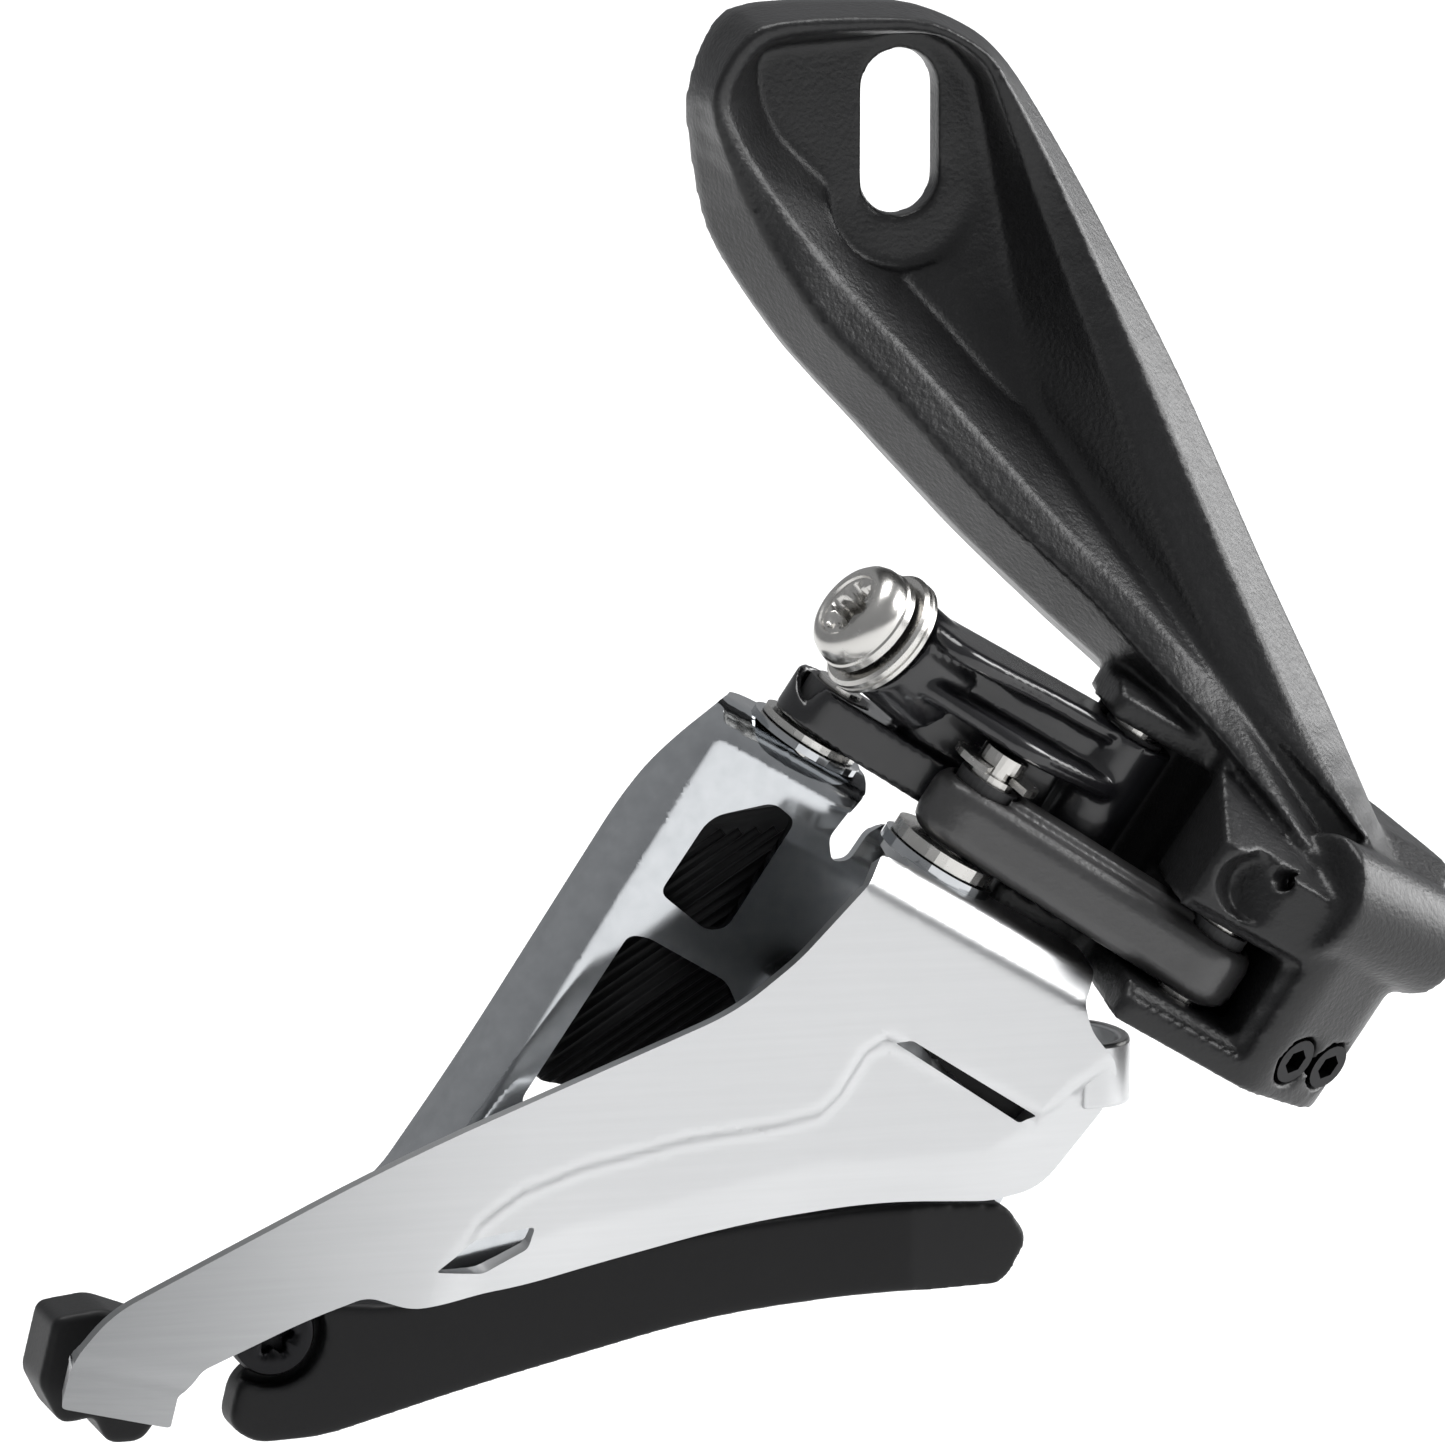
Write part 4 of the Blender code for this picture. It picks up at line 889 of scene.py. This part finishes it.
inner_outline = [(-5.0, -52.4, 0.6), (*flap(-27.4, TOP_CREASE), 0.4), (*flap(-27.4, 5.2), 1.5),
                 (*flap(-39.0, 5.2), 3.5), (-26.4, -50.6, 3.5), (-41.0, -72.0, 6), (-52.0, -85.4, 6),
                 (-62.0, -91.0, 2), (-71.4, -92.0, 1), (-71.0, -95.0, 1), (-66.0, -95.8, 1),
                 (-61.0, -94.4, 1), (-54, -95.0, 3), (-38, -91.2, 8), (-20, -88.8, 8), (5, -88.8, 2),
                 (8.0, -84.0, 2), (10.6, -77.6, 1.5), (10.6, -71.0, 1.5), (4.0, -69.4, 2), (0.4, -62.0, 2),
                 (-0.6, -56.6, 0.8), (-3.6, -55.0, 0.6), (-5.3, -55.8, 0.5), (-6.9, -58.0, 0.7),
                 (-8.4, -58.0, 0.7), (-8.6, -56.0, 0.6), (-6.6, -53.6, 0.6)]
upper_window = [(-22.8, -59.8, 0.8), (-18.6, -53.8, 1.4), (-13.2, -52.9, 0.9), (-11.4, -54.5, 0.8),
                (-17.2, -63.0, 1.0), (-18.9, -63.1, 0.8)]
lower_window = [(-25.4, -63.1, 0.9), (-23.8, -63.4, 0.7), (-17.2, -67.4, 0.7), (-13.4, -76.0, 2),
                (-30.0, -80.0, 2), (-34.6, -76.4, 1.0)]
inner_blank = cut_sheet([rounded(inner_outline, 6), rounded(upper_window), rounded(lower_window)], SPACING)
inner_plate = sheet_piece("inner_plate", inner_blank, inner_shape, INNER_SHEET)


def mirror_plating(name):
    """Chromium plating: a mirror with a faint haze and slow ripples of the pressed sheet."""
    made, shader, tree, place = finish(name, {"Metallic": 1.0})
    ripple = tree.noise(place, 90, 1)
    haze = tree.noise(place, 700, 3)
    tree.blend(haze, (0.40, 0.415, 0.43), (0.54, 0.555, 0.57)).feed(shader, "Base Color")
    (0.05 + haze * 0.09).feed(shader, "Roughness")
    tree.bump(ripple, 0.06, 0.2).feed(shader, "Normal")
    return made


chrome = mirror_plating("chrome_plate")
inner_plate.data.materials.append(chrome)
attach(inner_plate, "cage")
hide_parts("inner_cage_plate")

# ---------------------------------------------------------------- skid pad
# The black resin skid that the chain's inner side rubs. It is moulded, screwed to the inner plate at
# the tail, and its face drops away in a shallow facet at the front end.


def moulded(name, dark, light, gloss, grain):
    """Moulded resin: a fine spark-eroded texture and faint flow marks."""
    made, shader, tree, place = finish(name, {"Specular IOR Level": 0.22})
    spark = tree.noise(place, 3200, 3, 0.6)
    flow = tree.noise(place, 110, 2)
    tree.blend(flow * 0.6 + spark * 0.4, dark, light).feed(shader, "Base Color")
    (gloss + spark * 0.12 + flow * 0.08).feed(shader, "Roughness")
    tree.bump(spark, grain, 0.03).feed(shader, "Normal")
    return made


def over_middle(node):
    """A frame at the middle of a node, with its Z outboard from the frame's mounting face."""
    low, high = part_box(node)
    return OUTWARD @ Matrix.Translation(((low.x + high.x) / 2, (low.z + high.z) / 2, 0))


skid_outline = [(-59.8, -100.4, 1.2), (-59.0, -97.0, 1.0), (-52.0, -90.8, 1.5), (-46.0, -91.4, 2),
                (-36, -89.0, 4), (-20, -86.6, 6), (-4, -85.6, 4), (5.6, -86.6, 1), (7.8, -89.6, 1.4),
                (5.4, -93.2, 1.2), (-6, -92.9, 6), (-20, -94.0, 6), (-40.0, -98.6, 4),
                (-52.0, -101.8, 2), (-57.6, -102.0, 1.5)]
SKID_BACK, SKID_FACE, SKID_TOP, SKID_BOTTOM = 12.3, 16.6, -80, -100
HEAD_ROOM, HEAD_SEAT, SHANK_ROOM = 4.4, 14.4, 2.6
SCREW = over_middle("tail_screw")
skid = placed("skid", prism(rounded(skid_outline, 6), SKID_BACK, SKID_FACE, OUTWARD, bevel=0.5))
facet = [(-6.0, -SKID_FACE - 1.0), (12.0, -SKID_FACE - 1.0), (12.0, 3.0 - SKID_FACE), (-3.0, -SKID_FACE)]
combined(skid, "DIFFERENCE",
         prism(facet, SKID_BOTTOM, SKID_TOP),
         cylinder(HEAD_ROOM, HEAD_SEAT, 30, SCREW),
         cylinder(SHANK_ROOM, 5, 30, SCREW))
cast(skid, 0.3, 2)
resin = moulded("black_resin", (0.0035, 0.0035, 0.004), (0.009, 0.009, 0.0095), gloss=0.40, grain=0.3)
skid.data.materials.append(resin)
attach(skid, "cage")
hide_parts("skid_pad")

# ---------------------------------------------------------------- tail screw
# A large low-headed screw, turned from steel and blackened, with a lobed recess. It goes through the
# skid and the inner plate and holds them together.
SCREW_HEAD = [(0, 9.6), (2.0, 9.6), (2.2, 9.8), (2.2, 14.7), (3.2, 14.7), (3.5, 15.0), (3.5, 16.2),
              (3.3, 16.6), (2.8, 16.9), (2.4, 17.0), (0, 17.0)]
tail_screw = placed("skid_screw", turned(SCREW_HEAD, SCREW), FINE)
combined(tail_screw, "DIFFERENCE", prism(lobed(1.5, 0.3), 15.4, 19.0, SCREW))
blackened = bright_metal("black_screw", (0.010, 0.010, 0.011), (0.022, 0.022, 0.023), gloss=0.30,
                         scratch=0.15)
tail_screw.data.materials.append(blackened)
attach(tail_screw, "cage")
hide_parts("tail_screw")

# ---------------------------------------------------------------- slit shade strip
# A thin strip of black resin behind the slit of the outer plate: painted shade, put there so that the
# slit shows as a dark bar. How the real one is closed isn't known, and this strip stands in for it.
SLIT_SHADE_BACK, SLIT_SHADE_FACE = 23.8, 24.3
slit_shade_outline = [(-10.8, -69.2, 0.4), (-8.0, -67.6, 0.4), (5.6, -76.5, 0.4), (3.2, -78.2, 0.4)]
# painted shade: a dark strip that makes the slit read as a shaded gap
slit_shade = placed("slit_shade_strip",
                prism(rounded(slit_shade_outline, 3), SLIT_SHADE_BACK, SLIT_SHADE_FACE, OUTWARD, bevel=0.1))
slit_shade.data.materials.append(resin)
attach(slit_shade, "cage")

# ---------------------------------------------------------------- inner pad
# A moulded resin pad that lies behind the inner plate and shows through its two windows. Its face
# has slanting ribs with round grooves between them.
pad_corners = [(-24.6, -60.4), (-19.4, -54.2), (-9.6, -53.2), (-11.6, -60.0), (-14.0, -66.0),
               (-16.4, -72.0), (-26.0, -76.6), (-32.6, -75.0)]
PAD_CORNER, PAD_BACK, PAD_FACE = 0.6, 6.6, 10.3
RIBS, RIB_PITCH, GROOVE_RADIUS, RIB_SLANT = 16, 1.5, 0.4, radians(58)
FIRST_RIB = (-34, -66)
pad_outline = rounded([(x, z, PAD_CORNER) for x, z in pad_corners], 3)
pad = placed("ribbed_pad", prism(pad_outline, PAD_BACK, PAD_FACE, OUTWARD, bevel=0.2))
slant = Matrix.Rotation(RIB_SLANT, 4, "Y")
for rib in range(RIBS):
    groove = Matrix.Translation((FIRST_RIB[0] * MM + rib * RIB_PITCH * MM, -PAD_FACE * MM,
                                 FIRST_RIB[1] * MM))
    combined(pad, "DIFFERENCE", cylinder(GROOVE_RADIUS, -20, 20, groove @ slant, sides=8))
pad.data.materials.append(resin)
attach(pad, "cage")
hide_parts("inner_pad")

# ---------------------------------------------------------------- tail bumper
# The moulded resin block between the tails of the two plates, with a small knob under it. A rivet
# holds it to the inner plate's tail.
bumper_outline = [(-74.6, -89.9, 0.8), (-70.6, -89.4, 0.8), (-65.4, -91.4, 0.8), (-65.0, -97.0, 0.8),
                  (-67.6, -100.4, 0.9), (-70.4, -100.4, 0.9), (-71.4, -98.2, 0.6), (-74.2, -98.6, 1.0),
                  (-75.9, -95.2, 0.6)]
BUMPER_BACK, BUMPER_FACE = 12.3, 19.6
RIVET_ROOM, RIVET_END = 1.6, 19.3
bumper = placed("tail_block", prism(rounded(bumper_outline), BUMPER_BACK, BUMPER_FACE, OUTWARD, bevel=0.5))
combined(bumper, "DIFFERENCE", cylinder(RIVET_ROOM, 8, RIVET_END, over_middle("tail_rivet")))
cast(bumper, 0.22, 3)
bumper.data.materials.append(resin)
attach(bumper, "cage")
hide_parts("tail_bumper")

# ---------------------------------------------------------------- pins, washers, rivets and spring
# Turned steel pins with their washers, seals and clip, the cage's rivets, the set screws, the hinge
# bushes in grey resin and the coiled return spring. These keep their CAD shape and get a finish.
wire = bright_metal("spring_steel", (0.16, 0.155, 0.15), (0.30, 0.29, 0.28), gloss=0.25, scratch=0.2)
bush_resin = moulded("bush_resin", (0.03, 0.03, 0.031), (0.055, 0.055, 0.056), gloss=0.4, grain=0.15)
finishes = {steel: ["outer_base_pin", "inner_base_pin", "outer_cage_pin", "inner_cage_pin",
                    "outer_pin_clip", "outer_pin_seal", "inner_pin_seal", "front_rivet", "tail_rivet"],
            chrome: ["outer_pin_washer", "inner_pin_washer"],
            blackened: ["low_limit_screw", "high_limit_screw"],
            wire: ["return_spring"],
            bush_resin: ["outer_link_base_bush", "outer_link_cage_bush", "inner_link_base_bush",
                         "inner_link_cage_bush"]}
for surface, nodes in finishes.items():
    for node in nodes:
        frame["nodes"][node].data.materials.clear()
        frame["nodes"][node].data.materials.append(surface)
